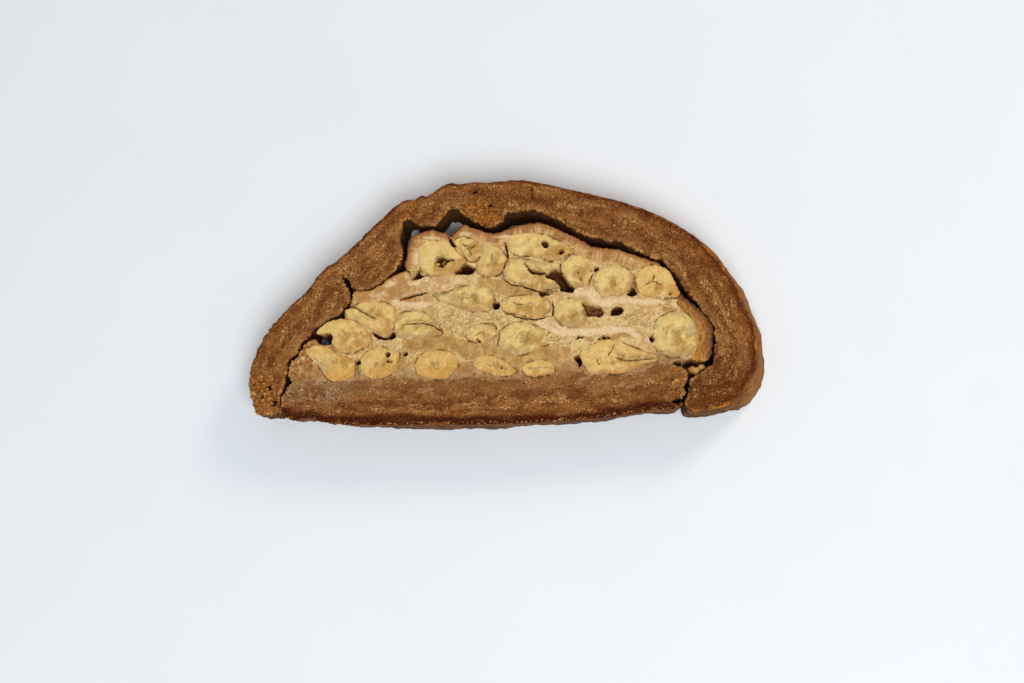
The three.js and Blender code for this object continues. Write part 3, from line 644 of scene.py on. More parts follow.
FISH = {  # the outline in mm, how far it stands proud of the cut, how golden and how grey it is
    "fish_top_1": ([
        (-32, 19), (-31.3, 22), (-29.5, 23.6), (-26, 23.9), (-22, 23.6), (-19.5, 22), (-17, 19.5),
        (-13.7, 15.7), (-15, 13.5), (-18, 11), (-20, 10.3), (-24, 10), (-28, 10.3), (-30.5, 11.5),
        (-31.8, 14),
    ], 0.2, 0.15, 0.2),
    "fish_top_2": ([
        (-18.2, 24), (-16.5, 25.3), (-13.5, 24.8), (-10, 23.6), (-7.9, 21.8), (-8.1, 19.5), (-9.4, 16.5),
        (-11.5, 15), (-13, 16), (-15.6, 19.6),
    ], 0.05, 0.15, 0.2),
    "fish_top_3": ([
        (-6.5, 22.4), (-2, 21.3), (0.5, 19), (1.8, 16.5), (1.4, 14), (0, 11.5), (-2, 9.7), (-6, 9.4),
        (-9, 10.5), (-10, 13), (-9.3, 15.6), (-7.2, 19.5),
    ], 0.25, 0.15, 0.5),
    "fish_top_4": ([
        (2.4, 21.5), (3.2, 24), (6, 25.8), (10, 26.3), (14, 26), (17, 25.5), (20, 24), (24, 21.8),
        (27.6, 18.6), (25, 17.2), (22, 15.4), (19, 15.4), (15, 16.2), (10, 17.4), (6, 17.3), (3.6, 18.4),
    ], 0.15, 0.1, 0.3),
    "fish_top_5": ([
        (0.3, 11), (1.2, 13.8), (3, 16), (6, 16.8), (9.5, 16.1), (13, 15.4), (18, 15), (21.6, 14),
        (21.8, 12.4), (19.6, 11.4), (20.4, 9.2), (22.6, 6.6), (22.4, 5.2), (20, 4.4), (15, 4.1), (11, 5.2),
        (7, 6.6), (4, 7.2), (1.4, 8.6),
    ], 0.1, 0.2, 0.6),
    "fish_top_6": ([
        (22.7, 13), (23.8, 15.5), (26.2, 17.2), (29, 17.6), (32, 16.8), (34.1, 15), (33.4, 12), (34.2, 9.4),
        (33.2, 6.6), (31.6, 5), (27.4, 4.8), (25, 7), (23.4, 10),
    ], 0.2, 0.05, 0.5),
    "fish_top_7": ([
        (34.3, 7), (35.3, 9.5), (37.5, 11.5), (40, 13), (43, 13.6), (47, 12.4), (49.3, 10), (49.8, 7),
        (49, 4), (47, 2.2), (43, 1.2), (39, 1.2), (36.5, 2.7), (34.8, 4.8),
    ], 0.3, 0, 0.4),
    "fish_top_8": ([
        (50.7, 7), (51.5, 10), (54, 12.3), (57, 13), (60, 12.5), (62.8, 10.9), (64.8, 8), (66.2, 4.5),
        (67.4, 2), (66.6, 0.6), (62, 0.3), (57, 0.2), (54, 1.2), (51.8, 3.2),
    ], 0.15, 0.6, 0.15),
    "fish_middle_1": ([
        (-26.5, 2.4), (-20, 4.2), (-15, 5.8), (-12, 6.3), (-8, 5.6), (-5, 4.4), (-3.2, 2.2), (-2.6, -0.4),
        (-3.4, -3.2), (-7, -4.1), (-12, -4), (-16, -2.6), (-20, -1), (-24, 0.6),
    ], 0.1, 0, 0.7),
    "fish_middle_2": ([
        (0, 0.2), (4, 1.6), (8.5, 2), (13, 2), (16.5, 1.1), (18.6, -0.4), (18.4, -3), (17.2, -5.3),
        (13, -6.6), (9, -6.2), (5, -5.4), (1.5, -4.4), (0, -2.4),
    ], 0.1, 0.35, 0.3),
    "fish_middle_3": ([
        (20, -3), (21.4, -0.8), (25, 0.6), (28, 0.4), (30, -0.5), (30.8, -3), (31.4, -5.5), (31.8, -8),
        (30.5, -10), (28, -10.7), (24, -10.2), (21, -8.2), (19.8, -5.6),
    ], 0.35, 0, 0.5),
    "fish_low_1": ([
        (-60.2, -3.3), (-57.4, -1.4), (-54.5, 0.2), (-49, 0.5), (-43, -0.4), (-40.8, -2.6), (-40.2, -5.4),
        (-42, -10.8), (-44, -13.2), (-47, -12.6), (-50, -10.8), (-55, -7.8), (-59, -5.4),
    ], 0.1, 0.3, 0.5),
    "fish_low_2": ([
        (-70.8, -11.6), (-69.5, -9.3), (-67, -7.4), (-63, -6.2), (-59, -6.4), (-55, -8.2), (-51.2, -11),
        (-49.9, -13.7), (-50.6, -16.2), (-53.5, -18.2), (-57, -19.4), (-61, -19.4), (-63.5, -18.3),
        (-64.8, -16.4), (-65.3, -13.4), (-67.5, -12.6),
    ], 0.2, 0.4, 0.2),
    "fish_low_3": ([
        (-41.2, -11), (-40.2, -7), (-38.5, -4.2), (-35, -3.4), (-31, -3.3), (-28, -5), (-24.6, -8.5),
        (-22.8, -12.4), (-28, -13.5), (-33, -14), (-37, -14.2), (-40, -13.4),
    ], 0.15, 0.1, 0.6),
    "fish_low_4": ([
        (-13.8, -13), (-12.5, -10.6), (-10, -9.2), (-6, -8.7), (-3, -9.3), (-1.9, -12.6), (-3.8, -15),
        (-7, -16.5), (-10, -16.2), (-13, -14.9),
    ], 0.05, 0.1, 0.5),
    "fish_low_5": ([
        (-1.3, -14), (-1, -12), (1.2, -10), (4, -8.4), (8, -8.1), (11, -8.6), (13.5, -9.8), (17, -11.5),
        (18.8, -14), (17.8, -16.5), (14, -18.5), (8, -21), (4, -21.2), (1, -19.8), (-0.7, -17.5),
    ], 0.25, 0, 0.6),
    "fish_right": ([
        (56.7, -15.6), (57.2, -12), (58.4, -8.2), (62, -5.7), (66, -4.8), (70, -6.2), (72.2, -9),
        (73.8, -12), (74.2, -15.8), (73, -19.5), (70, -21.5), (66, -22.5), (62, -22), (59, -20),
    ], 0, 0.15, 0.6),
    "fish_bottom_1": ([
        (-75, -18.2), (-70, -16.3), (-66, -17.6), (-62, -20.2), (-58, -21.2), (-56, -22.7), (-55.6, -25),
        (-56.5, -28), (-59, -29.6), (-62, -30.4), (-66, -29.7), (-68.4, -26.6), (-72, -22.2),
    ], 0, 0.75, 0.2),
    "fish_bottom_2": ([
        (-54.5, -23), (-52, -19.6), (-49, -17.6), (-45.5, -17.1), (-42.5, -18.5), (-39.2, -19.4),
        (-39.3, -23), (-40, -25.5), (-42, -27.6), (-45, -29.1), (-48, -29.6), (-52, -28.6), (-54.4, -26.4),
    ], 0.05, 0.55, 0.15),
    "fish_bottom_3": ([
        (-33, -24), (-31.5, -21), (-28.5, -19.3), (-25, -18.7), (-21, -19), (-18, -20.5), (-16.4, -24),
        (-18, -27), (-20, -29.2), (-24, -30), (-27, -29.6), (-31, -28.4), (-32.8, -26),
    ], 0.1, 0.8, 0.25),
    "fish_bottom_4": ([
        (-11, -24.5), (-9.5, -22), (-6, -21), (-2, -21.6), (1.5, -23.1), (4, -25.4), (5.8, -27),
        (3.5, -28.5), (0, -29.2), (-4, -28.1), (-8, -26.7),
    ], 0.05, 0.7, 0.25),
    "fish_bottom_5": ([
        (7.8, -26.8), (8.2, -24.5), (11, -23.3), (15, -22.8), (18, -23.3), (20.4, -25.5), (19.4, -28),
        (16, -28.8), (12.5, -29.5), (9.5, -28.9),
    ], 0.05, 0.6, 0.2),
    "fish_bottom_6": ([
        (29, -21), (31, -19.4), (34, -17.4), (38, -15.6), (41, -15.3), (45, -16.6), (50, -18.4), (55, -20.6),
        (58, -22), (58.6, -23.2), (55, -24.7), (50, -26.5), (46, -28), (42, -28.6), (38, -28.2), (35, -28.7),
        (33, -28), (31, -26), (29.6, -23.6),
    ], 0.15, 0.45, 0.35),
}
FISH_STEP = 0.38  # mm between the points of a fish's cut face

fish_loops = {name: anticlockwise(even_line(outline, FISH_STEP)) for name, (outline, *_) in FISH.items()}


def seam(points):
    """How far two neighbours have drawn apart where they meet, 0 to 1."""
    return ease(lumps(points, 3.4, 101) + 0.5 * lumps(points, 1.3, 102), -0.1, 0.75)


def moist(gloss, radius, weight=0.12, scale=0.0015):
    """The fixed sockets of food that light sinks into: how far, for red, green and blue."""
    return {"Specular IOR Level": gloss, "Subsurface Radius": radius, "Subsurface Weight": weight,
            "Subsurface Scale": scale}


def fish_finish():
    """Baked white fish: fine fibres from the skin, grey smears of skin, golden where dry, with painted light
    and shade.
    """
    fish = Finish("baked_fish", moist(0.3, (1.0, 0.72, 0.38)))
    at = fish.place()
    run, inward = fish.mark("run"), fish.mark("edge")
    golden, grey = fish.mark("golden"), fish.mark("grey")
    broad = fish.grain(at, 5.0, 2.0)
    mottle = fish.grain(at, 1.7, 3.0, seed=3.0)
    fine = fish.grain(at, 0.45, 3.0, seed=15.0)
    bent = run + 1.6 * mottle
    fibres = fish.grain(fish.stretched(bent, 0.2 * inward, 0.0), 0.4, 2.0, seed=5.0)
    rings = fish.grain(fish.stretched(0.14 * run, inward + 0.9 * mottle, 3.0), 0.55, 2.0, seed=7.0)
    # painted light: the body is painted paler on each fish's upper left, where the light falls, mixed with
    # random tone
    painted_light_and_tone = 0.4 * broad + 0.25 * mottle + 0.35 * fish.mark("painted_light_and_tone")
    rim = 1 - fish.step(inward + 1.6 * mottle - 0.8, 0.1, 2.4)
    # painted shade: the rim turns toasted brown on the side turned away from the light, the lower right of
    # each fish
    toasted_and_shaded_rim = (1 - fish.step(inward + 1.2 * mottle - 0.6, 0.1, 1.3)) * fish.mark("turned")
    belly = fish.mark("belly") * fish.step(0.5 * mottle + 0.5 * rings, 0.42, 0.56)
    smear = fish.step(fish.grain(at, 3.0, 2.0, seed=11.0) + 0.3 * grey, 0.58, 0.8)
    # dark skin at the edge, plus painted shade where the fish has drawn apart from its neighbour and the
    # crevice opens
    skin = (1 - fish.step(inward + 0.35 * mottle, 0.18, 0.62)) * fish.mark("seam")
    heart = fish.mark("heart") * fish.step(0.5 * mottle + 0.5 * fine, 0.42, 0.54)
    folds = fish.step(0.6 * fine + 0.4 * mottle, 0.4, 0.56)
    smudge = fish.grain(at, 2.4, 3.0, seed=31.0)
    speck = fish.step(fish.grain(at, 0.8, 2.0, seed=25.0), 0.64, 0.72)
    # painted shade: hollows and slits turn dark brown with depth below the cut
    deep = fish.paint(seen(92, 52, 18), seen(156, 100, 40), fish.step(mottle, 0.42, 0.6))
    colour = fish.coats(seen(176, 129, 52), [
        (seen(229, 197, 120), fish.step(painted_light_and_tone, 0.34, 0.53)),
        # golden where dry, a little more at the rim, which is partly painted shade where the flesh rounds
        # off
        (seen(210, 148, 52), golden * (0.8 + 0.2 * rim)),
        (seen(180, 116, 44), toasted_and_shaded_rim * fish.step(broad, 0.36, 0.56)),
        (seen(190, 150, 80), 0.2 * fish.step(fibres, 0.5, 0.62)),
        (seen(190, 154, 86), 0.28 * fish.step(rings, 0.54, 0.63)),
        (seen(242, 218, 154), 0.28 * fish.step(0.5 * fibres + 0.5 * fine, 0.5, 0.38)),
        (seen(178, 148, 90), (0.12 + 0.5 * grey) * belly),
        (seen(166, 142, 98), smear * (1 - fish.step(inward, 0.3, 3.2)) * grey),
        (seen(112, 80, 44), 0.8 * skin),
        (seen(152, 110, 50), 0.75 * heart),
        (fish.paint(seen(200, 166, 104), seen(142, 108, 58), folds), 0.75 * fish.mark("skin")),
        (seen(176, 158, 124), 0.6 * fish.mark("veil")),
        (seen(172, 130, 72), 0.26 * fish.step(smudge, 0.52, 0.66)),
        (seen(244, 220, 158), 0.28 * fish.step(smudge, 0.46, 0.34)),
        (seen(160, 114, 56), 0.3 * speck),
        (deep, fish.step(fish.mark("sunk"), 0.8, 2.8)),
    ])
    wet = 0.24 + 0.3 * mottle + 0.12 * fine - 0.2 * fish.mark("veil")
    return fish.finish(colour, wet, 0.6 * fibres + 0.5 * rings + 0.5 * fine, 0.2, 0.8)


def spotted(points, spots, seed):
    """0 to 1 inside soft, uneven ovals."""
    best = np.zeros(len(points))
    wobble = 0.35 * lumps(points, 2.2, seed)
    for x, y, wide, tall in spots:
        away = np.hypot((points[:, 0] - x) / wide, (points[:, 1] - y) / tall)
        best = np.maximum(best, 1 - ease(away + wobble, 0.55, 1.15))
    return best


def streaked(points, lines, seed):
    """0 to 1 along uneven lines."""
    best = np.zeros(len(points))
    wobble = 0.35 * lumps(points, 1.1, seed)
    for line, width in lines:
        near = boxed(points, line, 2)
        if len(near):
            away = measure(points[near], line)[0] / width
            best[near] = np.maximum(best[near], 1 - ease(away + wobble[near], 0.4, 1.1))
    return best


VEILS = [  # the middle and half widths in mm of grey, wet skin
    (70.6, -11.6, 1.2, 2.4), (-67.8, -24.8, 1.0, 1.6), (-2.4, 16.2, 0.8, 1.4),
]
SKINS = [  # the line and half its width in mm of brown skin folded into the flesh
    ([(44, -21.8), (48, -22.8), (53, -22.6), (57, -22.8)], 1.1),
    ([(-58.8, -0.8), (-55, -2.2), (-51, -4.4), (-48.4, -6.6)], 0.9),
    ([(-36.6, -8.2), (-31, -7.4), (-26, -8.8)], 0.7),
    ([(9.6, 13.6), (13, 11), (18.6, 10.4)], 0.9),
    ([(60, -20.6), (65, -22.2), (70.6, -21.2)], 0.9),
    ([(-6, -24.2), (-1, -25.4), (2.8, -26.6)], 0.8),
    ([(10.6, -26.2), (17, -25.8)], 0.6),
    ([(-1.2, -17), (-1, -13.6), (0.8, -10.6)], 0.6),
    ([(-26, 1.8), (-21, 3.4), (-15, 5.4)], 0.5),
    ([(-69.8, -12.4), (-67, -12.4), (-65.6, -15)], 0.8),
    ([(36, 3.2), (34.8, 6), (35.6, 9.6)], 0.5),
    ([(-20, -11), (-22.6, -12.6), (-29, -13.6)], 0.5),
    ([(-53.6, -20.8), (-54.2, -24.6), (-52, -28.4)], 0.6),
    ([(18.2, 0.2), (18.4, -3.4), (16.6, -5.6)], 0.6),
]
skin_lines = [(ruler(line), width) for line, width in SKINS]
baked_fish = fish_finish()

for number, (name, (outline, proud, golden, grey)) in enumerate(FISH.items()):
    loop = fish_loops[name]
    skin_line = ruler(outline, closed=True)
    middle = loop.mean(0)
    reach = np.abs(loop - middle).max(0)

    def from_core(points):
        """0 in the middle of the fish and about 1 at its skin, unevenly."""
        return np.linalg.norm((points - middle) / reach, axis=1) + 0.3 * lumps(points, 2.4, 60 + number)

    def fish_marks(points):
        core = from_core(points)
        low = ease(middle[1] - points[:, 1], -1, 0.8 * reach[1])
        # painted light and shade: lit runs from each fish's lower right to its upper left, and low grows
        # towards its lower edge
        lit = (points - middle) / reach @ (-0.5, 0.6) + 0.5 * lumps(points, 4, 63 + number)
        return {
            "run": measure(points, skin_line)[1],
            # golden where dry, with painted shade making the lower part of each fish more golden
            "golden": golden * (0.75 + 0.35 * low),
            "grey": np.full(len(points), grey),
            "heart": 1 - ease(core, 0.06, 0.36),
            "belly": 1 - ease(core, 0.2, 0.62),
            "seam": 0.15 + 0.85 * seam(points),
            # painted shade: 1 on the side of each fish that faces away from the light
            "painted_light_and_tone": ease(lit, -0.9, 0.9),
            "turned": 1 - ease(lit, -0.5, 0.8),
            "veil": spotted(points, VEILS, 118),
            "skin": streaked(points, skin_lines, 120),
        }

    def fish_relief(points, edge):
        run = measure(points, skin_line)[1]
        fibre = lumps(np.column_stack([run, edge * 0.2]), 0.8, 70 + number)
        flake = lumps(np.column_stack([run * 0.25, edge]), 1.4, 90 + number)
        lumpy = 0.12 * lumps(points, 2.6, 61) + 0.08 * lumps(points, 1.1, 62)
        pillow = 0.42 * ease(edge, -0.6, 2.6) - 0.3
        dimple = 0.35 * (1 - ease(from_core(points), 0, 0.35))
        rise = proud + pillow + 0.05 * fibre + 0.12 * flake + lumpy - dimple
        worn = worn_edge(edge, 0.8, 0.15 + 0.5 * seam(points))
        return rise * ease(edge, -0.3, 1.4) - worn - carved(points)

    fish = slab(name + "_flesh", roughened(loop, 0.12), fish_relief, fish_marks, FISH_STEP, wall=0.2,
                fine=fine_rows, levels=7)
    fish.data.materials.append(baked_fish)
    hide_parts(name)


# ---- The pork and the soaked dough ----
# Strips of fat pork, laid between the rows of fish, with their rind and lean meat to the outside,
# and smears of dough that has taken up fat. They run the length of the loaf as the fish do.

LAYERS = {  # the layer's upper edge, its lower edge, and what it is
    "rind_left": ([
        (-37.2, 13), (-36.6, 18), (-35.8, 22), (-34.8, 25.2), (-31.5, 27.1), (-27, 28), (-23.5, 27.3),
        (-20.6, 26.4),
    ], [
        (-32, 12.6), (-31.4, 17), (-31, 21), (-30.4, 23), (-28, 24), (-24, 24.2), (-21, 23.4),
    ], "rind"),
    "rind_top": ([
        (-19.4, 25.4), (-17, 28), (-14.4, 29.8), (-11, 28.6), (-7, 27.2), (-2, 26.6), (2.5, 28.2), (7, 29.4),
        (12, 30.2), (16, 30), (21, 27.9), (26, 25.5), (31, 22.6), (34.5, 20.7), (39.5, 19.8), (43.5, 19.7),
        (48, 17.9), (53, 16.3), (57.5, 14.6), (60, 13),
    ], [
        (-18.4, 24), (-16, 24.4), (-13, 24), (-9.5, 22.8), (-6, 22.2), (-2, 22), (1.5, 23.6), (5, 25.2),
        (9, 25.6), (13, 25.4), (17, 24.8), (20.5, 23.4), (24, 20.8), (28, 17.6), (32.5, 16.4), (36, 13.8),
        (41, 13.6), (46, 12.8), (50.5, 10.6), (54, 11.8),
    ], "rind"),
    "lean_right": ([
        (67.6, 2), (70.5, -0.7), (73.5, -3.4), (76, -6.1), (78.4, -9.6), (79.4, -12.5), (79, -15.5),
        (79, -19), (78.2, -22.4),
    ], [
        (65.8, -2), (68, -4.6), (69.6, -7), (71.4, -10), (73, -12.8), (73.6, -15.4), (73.4, -18.4),
        (72.2, -20.6), (71.2, -22.8),
    ], "lean"),
    "fat_left": ([
        (-57, 4.2), (-51.5, 4.7), (-47, 6.8), (-43.5, 9.4), (-39.5, 11.5), (-36.4, 12.3), (-34.2, 9.2),
        (-31.5, 8.6), (-26, 9.4), (-20, 9.8), (-14, 10), (-9, 9),
    ], [
        (-56.6, 0.6), (-50, 0), (-44, 0), (-40.6, -1.4), (-38, -3), (-34, -2.6), (-30, -2.4), (-27, -0.4),
        (-25, 2.8), (-21, 5.2), (-15, 6.8), (-9.6, 6.4),
    ], "fat"),
    "soaked_middle": ([
        (-10.4, 8.4), (-3.5, 8.8), (0.4, 8), (4, 6.6), (9.5, 5.2), (13.6, 4),
    ], [
        (-10, 7.8), (-5, 5.2), (-1, 2.8), (3.5, 1.8), (8, 2.2), (13, 2.2),
    ], "soaked"),
    "fat_right": ([
        (25.4, 4.4), (29, 5.2), (33, 5.4), (36, 2.6), (38.5, 1), (43, 1), (48, 1.4), (53, 0.9), (60, 0.5),
        (65.4, -0.2),
    ], [
        (26.6, 1.8), (30.5, 0.2), (34, -1.4), (37.5, -2.6), (40.5, -3.2), (44.5, -1.9), (49, -2.6), (54, -3),
        (60, -3), (66.2, -3),
    ], "fat"),
    "fat_lower": ([
        (12.6, -7.2), (16.5, -6.6), (19.4, -6.9), (22.4, -9.4), (27, -10.4), (32, -10.2), (38, -9.9),
        (44, -9.7), (49, -10.6), (53, -12.2), (55.8, -14.4),
    ], [
        (13.2, -9.6), (17.6, -12), (21.5, -13.8), (26, -14.6), (31, -14.3), (36.5, -13.9), (42, -13.4),
        (46.5, -13.1), (50, -14.8), (53.2, -17.4), (55.8, -17.6),
    ], "fat"),
    "soaked_lower": ([
        (-38, -15.2), (-30, -13.8), (-24, -13.2), (-18, -13.6), (-13, -15.6), (-9.5, -16.6), (-5, -16.6),
        (-2.2, -17.6), (1.5, -19.8), (5, -21), (9, -20.8), (12.5, -19.2), (16.5, -17.6), (20.5, -17.6),
        (26, -18.6),
    ], [
        (-36, -18.8), (-28, -18.9), (-22, -18.8), (-17.5, -20), (-14, -22), (-11.5, -22.4), (-7, -21.6),
        (-2, -22), (3, -23.8), (6.5, -25), (9.5, -23.6), (13.5, -23.2), (17, -22.8), (20.5, -24),
        (25, -23.2),
    ], "soaked"),
}


def meat_finish(name, colours, wet, fibre_size, fibre_share, lie=(1, 0.14)):
    """Pork or soaked dough: a brown outer edge, a pale body and fibres across the strip or along it.

    The fibres' lie is how much they vary along the strip and across it."""
    meat = Finish(name, moist(0.28, (1.0, 0.6, 0.4)))
    at = meat.place()
    run, across, bare = meat.mark("run"), meat.mark("across"), meat.mark("bare")
    broad = meat.grain(at, 6.0, 2.0)
    mottle = meat.grain(at, 1.6, 3.0, seed=3.0)
    fine = meat.grain(at, 0.45, 3.0, seed=15.0)
    bundle = meat.stretched(lie[0] * run + 1.6 * mottle, lie[1] * across + 1.4 * mottle, 0.0)
    fibres = meat.grain(bundle, fibre_size, 2.0, seed=5.0)
    bundles = meat.grain(bundle, 2.6 * fibre_size, 1.0, seed=12.0)
    tone = 0.6 * broad + 0.2 * mottle + colours["gain"] * across
    browned = meat.mark("browned") * meat.step(0.7 * broad + 0.3 * mottle, 0.66, 0.46)
    blend = 1 - meat.step(meat.mark("edge") + 2.6 * broad + 1.4 * mottle - 2.0, -0.4, 1.1)
    edge_width = colours["edge_width"]
    middle = 1 - meat.step(across + 1.8 * mottle - 0.9, edge_width, 2.2 * edge_width)
    crust = 1 - meat.step(across + 1.4 * mottle - 0.7, 0.0, edge_width)
    # painted shade: hollows and slits turn dark brown with depth below the cut
    deep = meat.paint(seen(88, 50, 18), seen(150, 94, 36), meat.step(mottle, 0.42, 0.6))
    colour = meat.coats(colours["dark"], [
        (colours["pale"], meat.step(tone, *colours["turn"])),
        (colours["fibre"], fibre_share * meat.step(bundles, 0.52, 0.62)),
        (colours["spot"], 0.8 * fibre_share * meat.step(bundles, 0.46, 0.36)),
        (colours["fibre"], fibre_share * meat.step(fibres, 0.48, 0.62)),
        (colours["spot"], 0.4 * meat.step(meat.grain(at, 4.4, 1.0, seed=8.0), 0.54, 0.7)),
        (seen(170, 112, 46), 0.9 * browned),
        (colours["inner"], blend),
        (seen(230, 200, 156), 0.76 * meat.mark("white")),
        (seen(172, 118, 54), 0.75 * meat.mark("stain")),
        (colours["fibre"], 0.45 * meat.step(fine, 0.54, 0.64)),
        (colours["glint"], 0.45 * meat.step(fine, 0.46, 0.36)),
        (colours["dark"], 0.7 * middle * bare),
        (colours["edge"], 0.85 * crust * bare),
        (deep, meat.step(meat.mark("sunk"), 1.2, 3.2)),
    ])
    height = 0.8 * fibres + 0.6 * bundles + 0.5 * fine
    return meat.finish(colour, wet + 0.3 * mottle + 0.1 * fine, height, 0.26, 0.9)


MEATS = {
    "rind": meat_finish("pork_rind", {
        "dark": seen(160, 104, 48), "pale": seen(212, 170, 108), "fibre": seen(140, 84, 36),
        "edge": seen(128, 66, 22), "spot": seen(214, 168, 104), "glint": seen(230, 190, 130),
        "inner": seen(212, 172, 102), "edge_width": 1.0, "gain": 0.08, "turn": (0.42, 0.7),
    }, wet=0.28, fibre_size=1.0, fibre_share=0.76, lie=(1, 0.08)),
    "lean": meat_finish("lean_pork", {
        "dark": seen(126, 74, 20), "pale": seen(196, 136, 50), "fibre": seen(116, 66, 18),
        "edge": seen(78, 38, 10), "spot": seen(204, 146, 60), "glint": seen(218, 164, 80),
        "inner": seen(198, 146, 66), "edge_width": 2.2, "gain": 0.05, "turn": (0.44, 0.68),
    }, wet=0.24, fibre_size=0.8, fibre_share=0.7, lie=(0.35, 0.9)),
    "fat": meat_finish("pork_fat", {
        "dark": seen(190, 142, 74), "pale": seen(230, 201, 152), "fibre": seen(190, 142, 80),
        "edge": seen(166, 110, 54), "spot": seen(210, 168, 100), "glint": seen(240, 216, 174),
        "inner": seen(203, 164, 96), "edge_width": 1.0, "gain": 0.0, "turn": (0.28, 0.46),
    }, wet=0.22, fibre_size=1.1, fibre_share=0.22),
    "soaked": meat_finish("soaked_dough", {
        "dark": seen(168, 126, 62), "pale": seen(206, 164, 94), "fibre": seen(148, 106, 52),
        "edge": seen(190, 152, 90), "spot": seen(180, 142, 82), "glint": seen(208, 170, 106),
        "inner": seen(194, 152, 84), "edge_width": 0.8, "gain": 0.0, "turn": (0.34, 0.48),
    }, wet=0.4, fibre_size=0.9, fibre_share=0.5),
}
LAYER_STEP = 0.4  # mm between the points of a layer's cut face
RIDGES = {"rind": 0.07, "lean": 0.36, "fat": 0.06, "soaked": 0.05}  # mm of relief that the fibres make
STAINS = [  # the middle and half widths in mm of brown, clear spots where fat has soaked in
    (-40, 3.5, 2.8, 1.7), (47, -13.6, 3.4, 1.4), (42.6, -14.6, 2.2, 1.2), (33.5, -15.4, 1.8, 1.2),
    (50, -0.6, 6, 0.9), (60, -1.6, 5, 1.2), (-52, 1.6, 2.2, 1.4), (-31, -9.6, 1.6, 1), (-27, -7.6, 1.4, 1.2),
    (37.4, -5.6, 2.4, 1.4), (-37.4, -21.6, 1.6, 2.6), (-14.5, -25, 2.2, 2.6), (24, -25.6, 2.4, 1.6),
    (63, -4, 3, 1), (-66.4, -9.4, 1.6, 1),
]
WHITES = [  # the same for white fat
    (-44, 7.4, 3.0, 1.6), (-36, -0.9, 9, 1.0), (-34, 7.6, 3, 1.4), (34, 2.6, 3.4, 1.6), (36, -12.2, 5, 1.2),
    (24, -9.6, 4, 1.3), (46, -0.6, 6, 1.0), (1, 25, 5, 0.8), (46, -11.8, 5, 1.1), (57, -1.2, 6, 1.0),
    (30, 2.6, 3, 1.3), (-33, 17, 1.3, 4.2), (-27, 25, 3.6, 0.7), (-14, 26.4, 3, 1.0),
]
FAT_BANDS = [  # the line and half its width in mm of the long bands of white fat
    ([(13.5, -8.4), (17, -10.4), (20, -12), (26, -12.6), (34, -12.2), (42, -11.6), (47.5, -12.4),
      (52, -15)], 1.5),
    ([(27, 3.4), (31, 2.6), (35, 0.2), (39, -1.6), (45, -0.5), (52, -1), (61, -1.4)], 1.2),
    ([(-41, 0.2), (-34, -1.2), (-28, -0.8)], 0.9),
]
fat_bands = [(ruler(line), width) for line, width in FAT_BANDS]
outer_edges = [LAYERS[name][0] for name in ("rind_left", "rind_top", "lean_right")]
filling_line = np.vstack([ruler(edge) for edge in outer_edges + [LAYERS["fat_left"][0][:7]]])
fish_edge = np.vstack([ruler(outline, closed=True) for outline, *_ in FISH.values()])
UNDERLAP = 2.2  # mm that what lies beside a fish or a layer dips where it runs under it


def within_any(points, loops):
    """Which points lie inside one of several closed loops."""
    inside = np.zeros(len(points), bool)
    for loop in loops:
        near = boxed(points, loop)
        inside[near] |= within(points[near], loop)
    return inside


def under_fish(points):
    """How far what surrounds the fish drops at their edges and under them."""
    away = measure(points, fish_edge)[0]
    crease = 0.95 * seam(points) * (1 - ease(away, 0.05, 0.65))
    dip = crease + UNDERLAP * ease(away, 0.1, 0.9)
    return np.where(within_any(points, fish_loops.values()), dip, crease)


def layer_marks(upper):
    """What a layer's finish needs to know, measured from the layer's upper edge."""
    def marks(points):
        across, run = measure(points, upper)
        x, y = points.T
        browned = ease(-x, 8, 46) * ease(y, -2.5, 0.5) * (1 - ease(y, 11, 14)) + 0.5 * ease(x, 10, 50)
        white = np.maximum(spotted(points, WHITES, 116), streaked(points, fat_bands, 133))
        return {
            "run": run,
            "across": across,
            "bare": 1 - ease(measure(points, filling_line)[0], 1.0, 3.0),
            "browned": browned * (1 - white),
            "stain": spotted(points, STAINS, 115) * (1 - white),
            "white": white,
        }
    return marks


def layer_relief(kind, upper):
    """A layer's cut face: ridges of fibre across it, or along it in lean meat, which is rougher."""
    lean = kind == "lean"

    def relief(points, edge):
        across, run = measure(points, upper)
        grown = (0.2 * run, across) if lean else (run, 0.2 * across)
        ridges = RIDGES[kind] * lumps(np.column_stack(grown), 1.2, 117)
        lumpy = 0.12 * lumps(points, 3.4, 111) + (0.3 if lean else 0.09) * lumps(points, 1.2, 112)
        bare = 1 - ease(measure(points, filling_line)[0], 0.4, 1.6)
        worn = worn_edge(edge, 0.9, 0.5) * (0.15 + 0.85 * bare)
        sunk = carved(points) + under_fish(points) + 0.05
        return (lumpy + ridges) * ease(edge, -0.2, 0.8) - worn - sunk
    return relief


fish_rings = [loop + outward(loop) * shift for loop in fish_loops.values() for shift in (0.12, 0.6)]
layer_loops = {}
for name, (upper, lower, kind) in LAYERS.items():
    loop = roughened(anticlockwise(even_line(upper + lower[::-1], LAYER_STEP)), 0.14 + 0.5 * RIDGES[kind])
    layer_loops[name] = loop
    upper_line = ruler(upper)
    layer = slab(name + "_strip", loop, layer_relief(kind, upper_line), layer_marks(upper_line),
                 LAYER_STEP, wall=0.25, fine=fine_rows + fish_rings, levels=7)
    layer.data.materials.append(MEATS[kind])
    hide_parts(name)

SCRAP = [
    (69.8, -26.5), (71, -25.6), (72.8, -25.9), (74.2, -25), (76.1, -25.6), (75.6, -26.6), (74.2, -27.3),
    (72.9, -28.5), (71.4, -28),
]
SCRAP_STEP = 0.3  # mm between the points of its cut face
scrap_loop = roughened(anticlockwise(even_line(SCRAP, SCRAP_STEP)), 0.2)
scrap_line = ruler(scrap_loop, closed=True)


